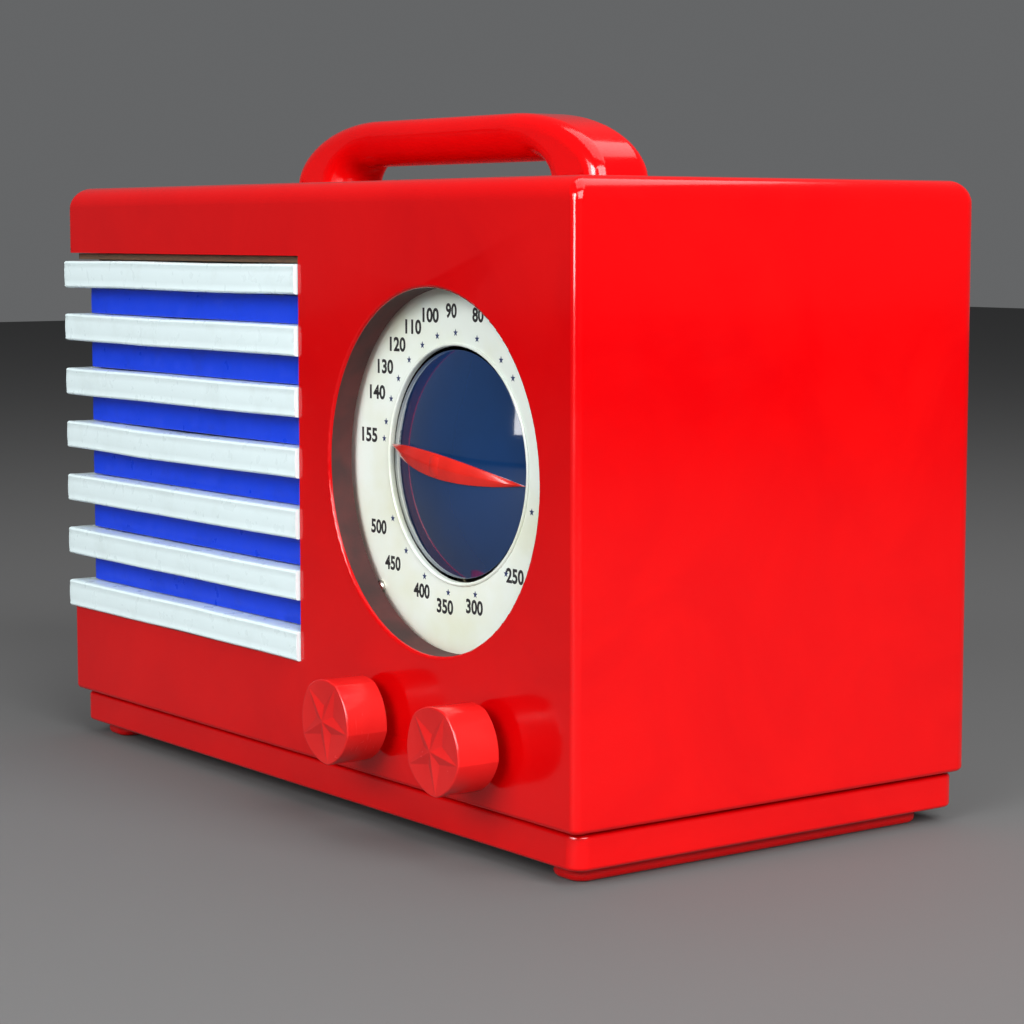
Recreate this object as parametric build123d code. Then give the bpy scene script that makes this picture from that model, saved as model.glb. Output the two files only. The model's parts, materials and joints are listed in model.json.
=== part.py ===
from build123d import *
import os
from math import asin, atan2, cos, degrees, hypot, radians, sin, sqrt

# Table radio of about 1940 with a cast phenolic cabinet, a striped wrap-round grille, a round dial with a
# domed centre, two star knobs and a carrying handle, and its five-tube chassis inside.
#
# Everything is modelled in millimetres with X = 0 on the cabinet's centre plane (+X to the right seen from
# the front), Y = 0 on the cabinet's front face (+Y to the rear) and Z = 0 on the table. save() then moves
# each piece so that the origin is the centre of the base of the whole object's box.

# ---- driving dimensions ---------------------------------------------------------------------------------
BODY_W = 282.6
BODY_D = 145.5
BODY_TOP = 186.3
WALL = 6.0
HALF = BODY_W / 2
FRONT_EDGE_R = 2.5
REAR_EDGE_R = 5.0
TOP_EDGE_R = 6.5
INNER_EDGE_R = 3.0

RUNNER_H = 4.5
RUNNER_W = 14.0
RUNNER_INSET = 7.5
RUNNER_Y = (7.0, 134.0)
PLINTH_TOP = 14.4
PLINTH_INSET = 2.4
GROOVE_TOP = 15.2
GROOVE_INSET = 4.5
FLOOR = GROOVE_TOP + WALL
CEILING = BODY_TOP - WALL

DIAL_X = 74.4
DIAL_Z = 105.4
DIAL_OPENING_R = 51.1
DIAL_SEAT_Y = 8.0
DIAL_RING_Y = (9.8, 11.0)
DIAL_RING_R = (33.0, 57.0)
ROTOR_Z = DIAL_Z + 1.8

GRILLE_END = (7.1, 50.0)      # where the opening ends: X on the front, Y on the left side
GRILLE_Z = (43.8, 164.7)
BAR_COUNT = 7
BAR_PITCH = 18.2
BAR_H = 9.0
BAR_FIRST_Z = 48.4
BAR_PROUD = 1.5
BAR_CORNER_R = 1.3
SLAT_RECESS = 5.4
SLAT_BACK = 7.8
SLAT_GAP = 0.35
FRAME_BACK = 10.2
FRAME_LAP = 6.0
CLOTH_BACK = 10.8
BAFFLE_BACK = 13.8

KNOB_SPACING = 54.0
KNOB_Z = 33.5
KNOB_R = 12.5
KNOB_SIDE_R = 12.0
KNOB_BACK_Y = -3.8
KNOB_RIM_Y = -17.4
KNOB_TIP_Y = -18.3
KNOB_TIP_ANGLE = 277.0
TUNING_X = DIAL_X + KNOB_SPACING / 2
VOLUME_X = DIAL_X - KNOB_SPACING / 2

HANDLE_HALF = 81.5
HANDLE_Y = (53.0, 75.0)
HANDLE_H = 20.5
HANDLE_EDGE = (64.5, 16.4, 35.0)      # crisp lower edge: half length, height, shoulder length
HANDLE_SLOT = (54.0, 6.3, 4.0)        # slot on the handle's middle plane: the same three values

SHAFT_R = 3.0
FIT = 0.05                            # radial running clearance of a shaft in its bearing
CLEAR = 0.3                           # gap between pieces that move past each other
DRUM_R = 8 * SHAFT_R                  # the tuning knob turns eight times as far as the drum
CORD_R = 0.4
CORD_Y = 17.0

DOME_R = 32.0
DOME_APEX_Y = 3.0
DOME_RIM_Y = 10.5
POINTER_W = 6.8
POINTER_TILT = 6.7
PLATE_T = 0.8
PLATE_PITCH = 3.0
PLATE_COUNT = 9
PLATES_Y = 30.0
ROTOR_PLATE_R = 19.0
GANG_Y = (26.0, 61.5)

CHASSIS_X = (-122.0, 126.0)
CHASSIS_Y = (14.5, 118.0)
CHASSIS_TOP = 52.0
SHEET = 1.2
TUBE_Y = 97.0
TUBES = {"rectifier_tube": (-104.0, 70.0), "output_tube": (-66.0, 74.0), "detector_tube": (6.0, 66.0),
         "if_amplifier_tube": (42.0, 66.0), "converter_tube": (108.0, 66.0)}
IF_CANS = {"first_if_can": 75.0, "second_if_can": -30.0}

SPEAKER_X = -64.0
SPEAKER_Z = 104.25
SPEAKER_R = 50.0
CONE_R = 41.1

COVER_Y = (136.5, 139.5)
GROMMET_X = 60.0
GROMMET_Z = 40.0
MAINS_HOLE_R = 3.5

HANDLE_SCREWS = [(x, sum(HANDLE_Y) / 2) for x in (-69.0, 69.0)]
CHASSIS_SCREWS = [(-108.0, 66.0), (109.0, 66.0), (0.0, 109.0)]
COVER_SCREWS = [(x, z) for x in (-126.0, 126.0) for z in (32.0, 169.0)]

SHIFT = Location((BAR_PROUD / 2, -(BODY_D + KNOB_TIP_Y) / 2, 0))


# ---- helpers --------------------------------------------------------------------------------------------
def save(name, *solids):
    """Write one node: its solids, moved into the row frame."""
    placed = [SHIFT * solid for solid in solids]
    export_step(placed[0] if len(placed) == 1 else Compound(children=placed), f"parts/{name}.step")


def block(x, y, z):
    """Box between two values on each axis."""
    middle = [(low + high) / 2 for low, high in (x, y, z)]
    return Pos(*middle) * Box(x[1] - x[0], y[1] - y[0], z[1] - z[0])


def rod_y(x, z, r, y0, y1):
    """Round bar along Y."""
    return Pos(x, (y0 + y1) / 2, z) * Rot(X=90) * Cylinder(r, y1 - y0)


def rod_z(x, y, r, z0, z1):
    """Round bar along Z."""
    return Pos(x, y, (z0 + z1) / 2) * Cylinder(r, z1 - z0)


def turned_y(x, z, profile):
    """Solid of revolution about an axis along Y; the profile is a list of (radius, y) points."""
    face = make_face(Polyline(*profile, close=True))
    return Pos(x, 0, z) * revolve(face, Axis.Y)


def turned_z(x, y, profile):
    """Solid of revolution about an axis along Z; the profile is a list of (radius, z) points."""
    face = make_face(Plane.XZ * Polyline(*profile, close=True))
    return Pos(x, y, 0) * revolve(face, Axis.Z)


def plate_y(sketch, x, z, y0, y1):
    """Flat plate: a sketch drawn as seen from the front (X right, Z up), from y0 back to y1."""
    return extrude(Plane(origin=(x, y0, z), x_dir=(1, 0, 0), z_dir=(0, -1, 0)) * sketch, -(y1 - y0))


def at_top(shape):
    return shape.edges().group_by(Axis.Z)[-1]


def at_bottom(shape):
    return shape.edges().group_by(Axis.Z)[0]


def upright(shape):
    return shape.edges().filter_by(Axis.Z)


def on_circle(r, angle):
    """Point (x, z) at an angle in degrees, counted anticlockwise from +X as seen from the front."""
    return r * cos(radians(angle)), r * sin(radians(angle))


# ---- cabinet --------------------------------------------------------------------------------------------
def rounded_body():
    """Outside of the cabinet's body, above the groove."""
    body = block((-HALF, HALF), (0, BODY_D), (GROOVE_TOP, BODY_TOP))
    body = fillet(upright(body).group_by(Axis.Y)[0], FRONT_EDGE_R)
    body = fillet(upright(body).group_by(Axis.Y)[-1], REAR_EDGE_R)
    body = fillet(at_top(body), TOP_EDGE_R)
    return fillet(at_bottom(body), 1.5)


def base():
    """Stepped plinth under the body, joined to it by the set-back groove wall, on two runners."""
    step_half = HALF - PLINTH_INSET
    neck_half = HALF - GROOVE_INSET
    step = block((-step_half, step_half), (PLINTH_INSET, BODY_D - PLINTH_INSET), (RUNNER_H, PLINTH_TOP))
    step = fillet(upright(step), 5)
    step = fillet(at_bottom(step) + at_top(step), 1.2)
    neck = block((-neck_half, neck_half), (GROOVE_INSET, BODY_D - GROOVE_INSET),
                 (PLINTH_TOP - 3, GROOVE_TOP + 4))
    solid = step + neck
    for side in (-1, 1):
        middle = side * (HALF - RUNNER_INSET - RUNNER_W / 2)
        runner = block((middle - RUNNER_W / 2, middle + RUNNER_W / 2), RUNNER_Y, (0, PLINTH_TOP - 2))
        runner = fillet(upright(runner), 5)
        solid += fillet(at_bottom(runner), 2)
    return solid


def cabinet():
    """One casting: body, plinth and runners, hollow and open at the back."""
    inside = block((-HALF + WALL, HALF - WALL), (WALL, BODY_D + 10), (FLOOR, CEILING))
    inside = fillet(upright(inside).group_by(Axis.Y)[0], INNER_EDGE_R)
    under = block((-HALF + 24, HALF - 24), (14, BODY_D - 14), (-1, GROOVE_TOP))
    shell = rounded_body() + base() - inside - under
    shell += rod_y(DIAL_X, DIAL_Z, DIAL_OPENING_R + 2, WALL - 1, DIAL_SEAT_Y)
    shell -= rod_y(DIAL_X, DIAL_Z, DIAL_OPENING_R, -1, DIAL_SEAT_Y + 1)
    lip = shell.edges().filter_by(GeomType.CIRCLE).filter_by(
        lambda e: abs(e.radius - DIAL_OPENING_R) < 0.01 and abs(e.center().Y) < 0.01)
    shell = fillet(lip, 1.0)
    end_x, end_y = GRILLE_END
    shell -= block((-HALF - 5, end_x), (-5, WALL + 1), GRILLE_Z)
    shell -= block((-HALF - 5, -HALF + WALL + 1), (-5, end_y), GRILLE_Z)
    for x in (TUNING_X, VOLUME_X):
        shell -= rod_y(x, KNOB_Z, 5.5, -1, WALL + 1)
    for x, y in HANDLE_SCREWS:
        shell -= rod_z(x, y, 2.2, CEILING - 1, BODY_TOP + 1)
    for x, y in CHASSIS_SCREWS:
        shell -= rod_z(x, y, 2.2, GROOVE_TOP - 1, FLOOR + 1)
    for x, z in COVER_SCREWS:
        reach = (x - 5, HALF - WALL + 1) if x > 0 else (-HALF + WALL - 1, x + 5)
        shell += block(reach, (COVER_Y[0] - 14, COVER_Y[0]), (z - 5, z + 5))
        shell -= rod_y(x, z, 1.5, COVER_Y[0] - 11, COVER_Y[0] + 1)
    return shell


# ---- handle ---------------------------------------------------------------------------------------------
def arch_face(y, half, height, shoulder):
    """Face across the handle at one Y: a level crown between two quarter-ellipse shoulders."""
    left = (-half + shoulder, 0)
    right = (half - shoulder, 0)
    outline = Curve() + [
        EllipticalCenterArc(right, shoulder, height, start_angle=0, arc_size=90),
        Line((right[0], height), (left[0], height)),
        EllipticalCenterArc(left, shoulder, height, start_angle=90, arc_size=90),
        Line((-half, 0), (half, 0)),
    ]
    plane = Plane(origin=(0, y, BODY_TOP), x_dir=(1, 0, 0), z_dir=(0, -1, 0))
    return plane * make_face(outline)


def handle():
    """Arch with a crowned outside; its underside bulges down between two crisp edges."""
    y0, y1 = HANDLE_Y
    middle = (y0 + y1) / 2
    reach = (y1 - y0) / 2
    arch = extrude(arch_face(y0, HANDLE_HALF, HANDLE_H, 45), -(y1 - y0))
    rims = arch.edges().filter_by(lambda e: e.center().Z > BODY_TOP + 1 and abs(e.center().Y - middle) > 1)
    arch = fillet(rims, 5.0)
    sections = []
    for share in (-1.0, -0.9, -0.6, 0.0, 0.6, 0.9, 1.0):
        bulge = sqrt(1 - share ** 2)
        values = [edge + (slot - edge) * bulge for edge, slot in zip(HANDLE_EDGE, HANDLE_SLOT)]
        sections.append(arch_face(middle + share * reach, *values))
    arch -= loft(sections)
    for x, y in HANDLE_SCREWS:
        arch -= rod_z(x, y, 2.0, BODY_TOP - 1, BODY_TOP + 9)
    return arch


def handle_screws():
    """Two screws through the cabinet's top from inside, heads under the ceiling."""
    return [rod_z(x, y, 2.0, CEILING, BODY_TOP + 8) + rod_z(x, y, 4.0, CEILING - 2.5, CEILING)
            for x, y in HANDLE_SCREWS]


# ---- wrap-round grille ----------------------------------------------------------------------------------
def band(front, back, z0, z1, lap=0.0, outer_r=INNER_EDGE_R):
    """L-shaped band round the front left corner, between two depths behind the cabinet's faces."""
    end_x, end_y = GRILLE_END
    outer = block((-HALF + front, end_x + lap), (front, end_y + lap), (z0, z1))
    corner = upright(outer).sort_by(lambda e: e.center().X + e.center().Y)[0]
    outer = fillet(corner, outer_r)
    inner = block((-HALF + back, end_x + 9), (back, end_y + 9), (z0 - 1, z1 + 1))
    inner_r = outer_r - (back - front)
    if inner_r > 1:
        corner = upright(inner).sort_by(lambda e: e.center().X + e.center().Y)[0]
        inner = fillet(corner, inner_r)
    return outer - inner


def grille_bar(number):
    """White bar, counted from the top."""
    middle = BAR_FIRST_Z + (BAR_COUNT - number) * BAR_PITCH
    bar = band(-BAR_PROUD, SLAT_BACK, middle - BAR_H / 2, middle + BAR_H / 2, -0.3, BAR_CORNER_R)
    proud = bar.edges().filter_by(lambda e: min(e.center().Y, e.center().X + HALF) < -BAR_PROUD + 0.9)
    return fillet(proud, 0.8)


def grille_slat(number):
    """Blue slat below the bar of the same number, set back, with a sound gap above and below."""
    middle = BAR_FIRST_Z + (BAR_COUNT - number - 0.5) * BAR_PITCH
    reach = (BAR_PITCH - BAR_H) / 2 - SLAT_GAP
    return band(SLAT_RECESS, SLAT_BACK, middle - reach, middle + reach, -0.3)


def grille_frame():
    """Ladder behind the bars, lapped behind the cabinet's walls, with a ledge above the top bar."""
    z0, z1 = GRILLE_Z
    end_x, end_y = GRILLE_END
    frame = band(WALL, FRAME_BACK, z0 - FRAME_LAP, z1 + FRAME_LAP, FRAME_LAP)
    frame -= band(WALL - 1, SLAT_BACK, z0, z1)
    windows = block((-HALF + 16, end_x - 4), (WALL, FRAME_BACK + 1), (z0 + 3, z1 - 3))
    for x in (-92.0, -46.0):
        windows -= block((x - 3, x + 3), (0, 20), (z0, z1))
    frame -= windows
    frame -= block((-HALF + WALL, -HALF + FRAME_BACK + 1), (16, end_y - 4), (z0 + 3, z1 - 3))
    return frame + band(2.0, SLAT_BACK, z1 - 2.1, z1 - 0.2, -0.3)


def grille_cloth():
    z0, z1 = GRILLE_Z
    return band(FRAME_BACK, CLOTH_BACK, z0 - 5, z1 + 5, 5)


def speaker_baffle():
    """L-shaped fibreboard behind the cloth, with the speaker's hole and a vent on the side."""
    z0, z1 = GRILLE_Z
    board = band(CLOTH_BACK, BAFFLE_BACK, z0 - 5, z1 + 5, 5)
    board -= rod_y(SPEAKER_X, SPEAKER_Z, 44, CLOTH_BACK - 1, BAFFLE_BACK + 1)
    board -= block((-HALF + CLOTH_BACK - 1, -HALF + BAFFLE_BACK + 1), (22, 46), (62, 146))
    for x, z in speaker_screw_places():
        board -= rod_y(x, z, 1.2, CLOTH_BACK - 1, BAFFLE_BACK + 1)
    return board


# ---- speaker --------------------------------------------------------------------------------------------
def speaker_screw_places():
    for angle in (45, 135, 225, 315):
        dx, dz = on_circle(48.1, angle)
        yield SPEAKER_X + dx, SPEAKER_Z + dz


def speaker_basket():
    """Pressed steel frame: flat rim, tapering wall with four windows, seat for the magnet."""
    wall = [(44.5, 14.6), (SPEAKER_R, 14.6), (SPEAKER_R, 15.8), (46.3, 15.8), (22.0, 39.2),
            (9.3, 39.2), (9.3, 38.0), (21.2, 38.0), (44.5, 16.4)]
    basket = turned_y(SPEAKER_X, SPEAKER_Z, wall)
    for angle in (0, 90, 180, 270):
        window = Pos(35, 0, 0) * Rot(Y=90) * Cylinder(8, 30)
        basket -= Pos(SPEAKER_X, 26, SPEAKER_Z) * Rot(Y=angle) * window
    for x, z in speaker_screw_places():
        basket -= rod_y(x, z, 1.2, 14, 17)
    return basket


def cone_surround():
    """Corrugated paper ring between basket and baffle, a hair clear of the cone that it carries."""
    ring = turned_y(SPEAKER_X, SPEAKER_Z, [(CONE_R + CLEAR, BAFFLE_BACK), (SPEAKER_R, BAFFLE_BACK),
                                           (SPEAKER_R, 14.6), (CONE_R + CLEAR, 14.6)])
    for x, z in speaker_screw_places():
        ring -= rod_y(x, z, 1.2, 13, 15)
    return ring


def speaker_cone():
    """Paper cone with its dust cap."""
    profile = [(0, 26.4), (6, 27.0), (9.4, 28.0), (CONE_R - 0.8, 14.0), (CONE_R, 14.0),
               (CONE_R, 14.8), (8.7, 30.6), (7.9, 30.6), (7.9, 28.6), (5, 27.8), (0, 27.2)]
    return turned_y(SPEAKER_X, SPEAKER_Z, profile)


def voice_coil():
    return turned_y(SPEAKER_X, SPEAKER_Z, [(7.9, 30.6), (8.7, 30.6), (8.7, 44.0), (7.9, 44.0)])


def speaker_magnet():
    """Field-coil pot with the ring gap that the voice coil moves in."""
    profile = [(0, 39.2), (7.3, 39.2), (7.3, 50), (9.3, 50), (9.3, 39.2), (20, 39.2), (20, 68), (0, 68)]
    return turned_y(SPEAKER_X, SPEAKER_Z, profile)


def speaker_screws():
    return [rod_y(x, z, 1.2, 11.5, 15.8) + rod_y(x, z, 1.7, 15.8, 17.2) for x, z in speaker_screw_places()]


# ---- dial -----------------------------------------------------------------------------------------------
def dial_screw_places():
    for angle in (45, 135, 225, 315):
        dx, dz = on_circle(54.4, angle)
        yield DIAL_X + dx, ROTOR_Z + dz


def dial_face():
    ring = rod_y(DIAL_X, ROTOR_Z, DIAL_RING_R[1], *DIAL_RING_Y)
    ring -= rod_y(DIAL_X, ROTOR_Z, DIAL_RING_R[0], *DIAL_RING_Y)
    for x, z in dial_screw_places():
        ring -= rod_y(x, z, 1.0, *DIAL_RING_Y)
    return ring


def dial_bracket():
    """Upright sheet behind the dial face, with two feet on the chassis's front wall."""
    y0, y1 = DIAL_RING_Y[1], DIAL_RING_Y[1] + SHEET
    plate = block((DIAL_X - 50, DIAL_X + 50), (y0, y1), (41, 166))
    plate -= rod_y(DIAL_X, ROTOR_Z, DIAL_RING_R[0] + 1.5, y0 - 1, y1 + 1)
    for x, z in dial_screw_places():
        plate -= rod_y(x, z, 1.0, y0 - 1, y1 + 1)
    for x in (DIAL_X - 42, DIAL_X + 42):
        plate += block((x - 6, x + 6), (y1, CHASSIS_Y[0]), (42, 50))
    return plate


def dial_screws():
    return [rod_y(x, z, 1.0, DIAL_RING_Y[0], 13.8) + rod_y(x, z, 1.9, DIAL_RING_Y[0] - 1.2, DIAL_RING_Y[0])
            for x, z in dial_screw_places()]


def dome_sphere(offset):
    """Ball whose front cap is the dome's outside, grown by an offset."""
    rise = DOME_RIM_Y - DOME_APEX_Y
    ball_r = (DOME_R ** 2 + rise ** 2) / (2 * rise)
    return Pos(DIAL_X, DOME_APEX_Y + ball_r, ROTOR_Z) * Sphere(ball_r + offset)


def dial_dome():
    """Blue dome of the dial's centre: a shell with a short rim and a hub on the rotor shaft."""
    disc = rod_y(DIAL_X, ROTOR_Z, DOME_R, DOME_APEX_Y - 1, DOME_RIM_Y + 1)
    shell = (disc & dome_sphere(0)) - (rod_y(DIAL_X, ROTOR_Z, DOME_R - 1.2, 0, 20) & dome_sphere(-1.2))
    hub = rod_y(DIAL_X, ROTOR_Z, 6.5, DOME_APEX_Y, 13) & dome_sphere(-0.6)
    return shell + hub - rod_y(DIAL_X, ROTOR_Z, SHAFT_R, 5.2, 20)


def dial_pointer():
    """Double-ended pointer, two arcs wide at the middle and sharp at both rims, bowed over the dome."""
    half = DOME_R - 0.2
    edge_r = (half ** 2 + (POINTER_W / 2) ** 2) / POINTER_W
    drop = edge_r - POINTER_W / 2
    lens = (Pos(0, -drop) * Circle(edge_r)) & (Pos(0, drop) * Circle(edge_r))
    lens = Rot(Z=-POINTER_TILT) * lens + Circle(POINTER_W / 2 + 0.4)
    blade = plate_y(lens, DIAL_X, ROTOR_Z, 0, 12)
    boss = rod_y(DIAL_X, ROTOR_Z, 2.4, 0, 8) & (dome_sphere(1.8) - dome_sphere(0))
    return (blade & (dome_sphere(1.2) - dome_sphere(0))) + boss


# ---- tuning capacitor and drive -------------------------------------------------------------------------
def rotor_shaft():
    return rod_y(DIAL_X, ROTOR_Z, SHAFT_R, 5.2, GANG_Y[1] + 2.5)


def rotor_plates():
    """Half-round plates on a sleeve, wholly out of mesh at rest: they lie on the dial's left-hand side."""
    sleeve = rod_y(DIAL_X, ROTOR_Z, 4.5, PLATES_Y - 1, PLATES_Y + (PLATE_COUNT - 1) * PLATE_PITCH + 2)
    half_disc = Circle(ROTOR_PLATE_R) - Pos(ROTOR_PLATE_R, 0) * Rectangle(2 * ROTOR_PLATE_R, 2 * ROTOR_PLATE_R)
    half_disc = Rot(Z=-8) * half_disc
    for number in range(PLATE_COUNT):
        y = PLATES_Y + number * PLATE_PITCH
        sleeve += plate_y(half_disc, DIAL_X, ROTOR_Z, y, y + PLATE_T)
    return sleeve - rod_y(DIAL_X, ROTOR_Z, SHAFT_R, 20, 70)


def gang_stators():
    """Fixed plates between the rotor's, on two tie rods held by the end plates."""
    inner, outer, reach = 5.8, 24.0, 15.0
    stack = []
    for z in (-9.0, 9.0):
        stack.append(rod_y(DIAL_X + outer - 2.5, ROTOR_Z + z, 1.5, GANG_Y[0] + 1.5, GANG_Y[1] - 1.5))
    for number in range(PLATE_COUNT - 1):
        y = PLATES_Y + (number + 0.5) * PLATE_PITCH
        stack.append(block((DIAL_X + inner, DIAL_X + outer), (y, y + PLATE_T),
                           (ROTOR_Z - reach, ROTOR_Z + reach)))
    solid = stack[0]
    for piece in stack[1:]:
        solid += piece
    return solid


def gang_frame():
    """Bent steel frame: two end plates with the shaft's bearings, a tray, and feet on the chassis."""
    x0, x1 = DIAL_X - 23, DIAL_X + 27
    frame = block((x0, x1), (GANG_Y[0], GANG_Y[1]), (82.0, 83.5))
    for y0, y1 in ((GANG_Y[0], GANG_Y[0] + 1.5), (GANG_Y[1] - 1.5, GANG_Y[1])):
        frame += block((x0, x1), (y0, y1), (CHASSIS_TOP, ROTOR_Z + 12))
        frame += block((x0, x1), (y0 - 3, y1 + 3), (CHASSIS_TOP, CHASSIS_TOP + 1.5))
    return frame - rod_y(DIAL_X, ROTOR_Z, SHAFT_R + FIT, GANG_Y[0] - 1, GANG_Y[1] + 1)


def cord_drum():
    """Grooved drum on the rotor shaft."""
    y0, y1 = CORD_Y - 3, CORD_Y + 3
    profile = [(SHAFT_R, y0), (7, y0), (7, CORD_Y - 0.8), (20, CORD_Y - 0.8), (20, CORD_Y - 2),
               (DRUM_R + 2, CORD_Y - 2), (DRUM_R + 2, CORD_Y - 1.4), (DRUM_R, CORD_Y - 0.8),
               (DRUM_R, CORD_Y + 0.8), (DRUM_R + 2, CORD_Y + 1.4), (DRUM_R + 2, CORD_Y + 2), (20, CORD_Y + 2),
               (20, CORD_Y + 0.8), (7, CORD_Y + 0.8), (7, y1), (SHAFT_R, y1)]
    return turned_y(DIAL_X, ROTOR_Z, profile)


def dial_cord():
    """Closed cord round the drum and the tuning shaft: two arcs and two straight runs."""
    big = DRUM_R + CLEAR + CORD_R
    small = SHAFT_R + CLEAR + CORD_R
    dx, dz = TUNING_X - DIAL_X, KNOB_Z - ROTOR_Z
    down = degrees(atan2(dz, dx))
    lean = degrees(asin((big - small) / hypot(dx, dz)))
    side = 90 - lean
    loop = Curve()
    ends = []
    for centre, r, turn in (((0, 0), big, 360 - 2 * side), ((dx, dz), small, 2 * side)):
        start = down + side if r == big else down - side
        loop += CenterArc(centre, r, start, turn)
        ends.append([(centre[0] + on_circle(r, down + s)[0], centre[1] + on_circle(r, down + s)[1])
                     for s in (side, -side)])
    loop += Line(ends[0][0], ends[1][0])
    loop += Line(ends[0][1], ends[1][1])
    plane = Plane(origin=(DIAL_X, CORD_Y, ROTOR_Z), x_dir=(1, 0, 0), z_dir=(0, -1, 0))
    path = plane * loop
    wire = Wire(path.edges())
    section = Plane(origin=wire @ 0, z_dir=wire % 0) * Circle(CORD_R)
    return sweep(section, path=wire)


def tuning_bushing():
    """Threaded bearing of the tuning shaft with its nut, in the chassis's front wall."""
    nut = plate_y(RegularPolygon(7, 6), TUNING_X, KNOB_Z, 12, CHASSIS_Y[0])
    sleeve = rod_y(TUNING_X, KNOB_Z, 4.7, 7, CHASSIS_Y[0] + SHEET)
    return nut + sleeve - rod_y(TUNING_X, KNOB_Z, SHAFT_R + FIT, 6, 20)


def tuning_shaft():
    """Spindle with a collar behind the cord's stretch."""
    return rod_y(TUNING_X, KNOB_Z, SHAFT_R, -14, 24) + rod_y(TUNING_X, KNOB_Z, 4.5, 19.5, 21.5)


def volume_control():
    """Potentiometer with its switch: round can behind the chassis wall, threaded neck and nut in front."""
    can = rod_y(VOLUME_X, KNOB_Z, 11.0, CHASSIS_Y[0] + SHEET, 34)
    neck = rod_y(VOLUME_X, KNOB_Z, 4.7, 7, CHASSIS_Y[0] + SHEET)
    nut = plate_y(RegularPolygon(7, 6), VOLUME_X, KNOB_Z, 12, CHASSIS_Y[0])
    return can + neck + nut - rod_y(VOLUME_X, KNOB_Z, SHAFT_R + FIT, 6, 24)


def volume_shaft():
    return rod_y(VOLUME_X, KNOB_Z, SHAFT_R, -14, 22)


def star_knob(x):
    """Knob with five bowed sides that meet at the points of the raised five-pointed star on its face."""
    tips = [on_circle(KNOB_R, KNOB_TIP_ANGLE + 72 * n) for n in range(5)]
    sides = [on_circle(KNOB_SIDE_R, KNOB_TIP_ANGLE + 36 + 72 * n) for n in range(5)]
    outline = Curve() + [ThreePointArc(tips[n], sides[n], tips[(n + 1) % 5]) for n in range(5)]
    body = plate_y(make_face(outline), x, KNOB_Z, KNOB_RIM_Y, KNOB_BACK_Y)
    notches = [on_circle(KNOB_R * 0.42, KNOB_TIP_ANGLE + 36 + 72 * n) for n in range(5)]
    rim = [(x + p[0] * 0.96, KNOB_RIM_Y, KNOB_Z + p[1] * 0.96) for pair in zip(tips, notches) for p in pair]
    apex = (x, KNOB_TIP_Y, KNOB_Z)
    facets = [Face(Wire.make_polygon([rim[n], rim[(n + 1) % 10], apex])) for n in range(10)]
    star = Solid(Shell(facets + [Face(Wire.make_polygon(rim))]))
    return body + star - rod_y(x, KNOB_Z, SHAFT_R, -14, 0)


# ---- chassis --------------------------------------------------------------------------------------------
def chassis():
    """Steel pan, open below, with three feet that are screwed to the cabinet's floor."""
    inner_x = (CHASSIS_X[0] + SHEET, CHASSIS_X[1] - SHEET)
    inner_y = (CHASSIS_Y[0] + SHEET, CHASSIS_Y[1] - SHEET)
    pan = block(CHASSIS_X, CHASSIS_Y, (FLOOR, CHASSIS_TOP))
    pan -= block(inner_x, inner_y, (FLOOR - 1, CHASSIS_TOP - SHEET))
    for x, y in CHASSIS_SCREWS:
        reach_x = (x - 8, x + 8) if abs(x) < 50 else (min(x - 8, CHASSIS_X[0] + SHEET), x + 8)
        if x > 50:
            reach_x = (x - 8, CHASSIS_X[1] - SHEET)
        reach_y = (y - 8, CHASSIS_Y[1] - SHEET) if abs(x) < 50 else (y - 8, y + 8)
        pan += block(reach_x, reach_y, (FLOOR, FLOOR + SHEET))
        pan -= rod_z(x, y, 1.9, FLOOR - 1, FLOOR + 3)
    for x in (TUNING_X, VOLUME_X):
        pan -= rod_y(x, KNOB_Z, 4.7, CHASSIS_Y[0] - 1, CHASSIS_Y[0] + SHEET + 1)
    pan -= block((66, 110), (CORD_Y - 1.3, CORD_Y + 1.5), (CHASSIS_TOP - 3, CHASSIS_TOP + 1))
    for x, _ in TUBES.values():
        pan -= rod_z(x, TUBE_Y, 13.0, CHASSIS_TOP - 3, CHASSIS_TOP + 1)
    pan -= block((GROMMET_X - 9, GROMMET_X + 9), (CHASSIS_Y[1] - 3, CHASSIS_Y[1] + 1), (30, 44))
    return pan


def chassis_screws():
    return [rod_z(x, y, 1.9, GROOVE_TOP, FLOOR + 4) + rod_z(x, y, 4.0, GROOVE_TOP - 2.5, GROOVE_TOP)
            for x, y in CHASSIS_SCREWS]


def tube_sockets():
    """Wafer sockets, each let into its hole in the chassis."""
    return [rod_z(x, TUBE_Y, 13.0, CHASSIS_TOP - 4, CHASSIS_TOP) + rod_z(x, TUBE_Y, 16.0, CHASSIS_TOP,
                                                                        CHASSIS_TOP + 1.5)
            for x, _ in TUBES.values()]


def tube(x, height):
    """Glass tube standing on its socket: moulded base and round-shouldered envelope."""
    foot = CHASSIS_TOP + 1.5
    top = foot + height
    base_part = turned_z(x, TUBE_Y, [(0, foot), (15.5, foot), (15.5, foot + 3), (14.5, foot + 14), (0, foot + 14)])
    envelope = rod_z(x, TUBE_Y, 14.0, foot + 14, top)
    envelope = fillet(at_top(envelope), 9)
    return [base_part, envelope]


def if_can(x):
    """Square aluminium can with rounded corners and two trimmer screws on top."""
    can = block((x - 14, x + 14), (TUBE_Y - 14, TUBE_Y + 14), (CHASSIS_TOP, CHASSIS_TOP + 62))
    can = fillet(upright(can), 4)
    can = fillet(at_top(can), 1.5)
    top = CHASSIS_TOP + 62
    for dy in (-6, 6):
        can += rod_z(x, TUBE_Y + dy, 2.5, top - 1, top + 1)
    return can


def filter_capacitor():
    can = rod_z(18, 31, 12.5, CHASSIS_TOP, CHASSIS_TOP + 66)
    return fillet(at_top(can), 2)


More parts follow.
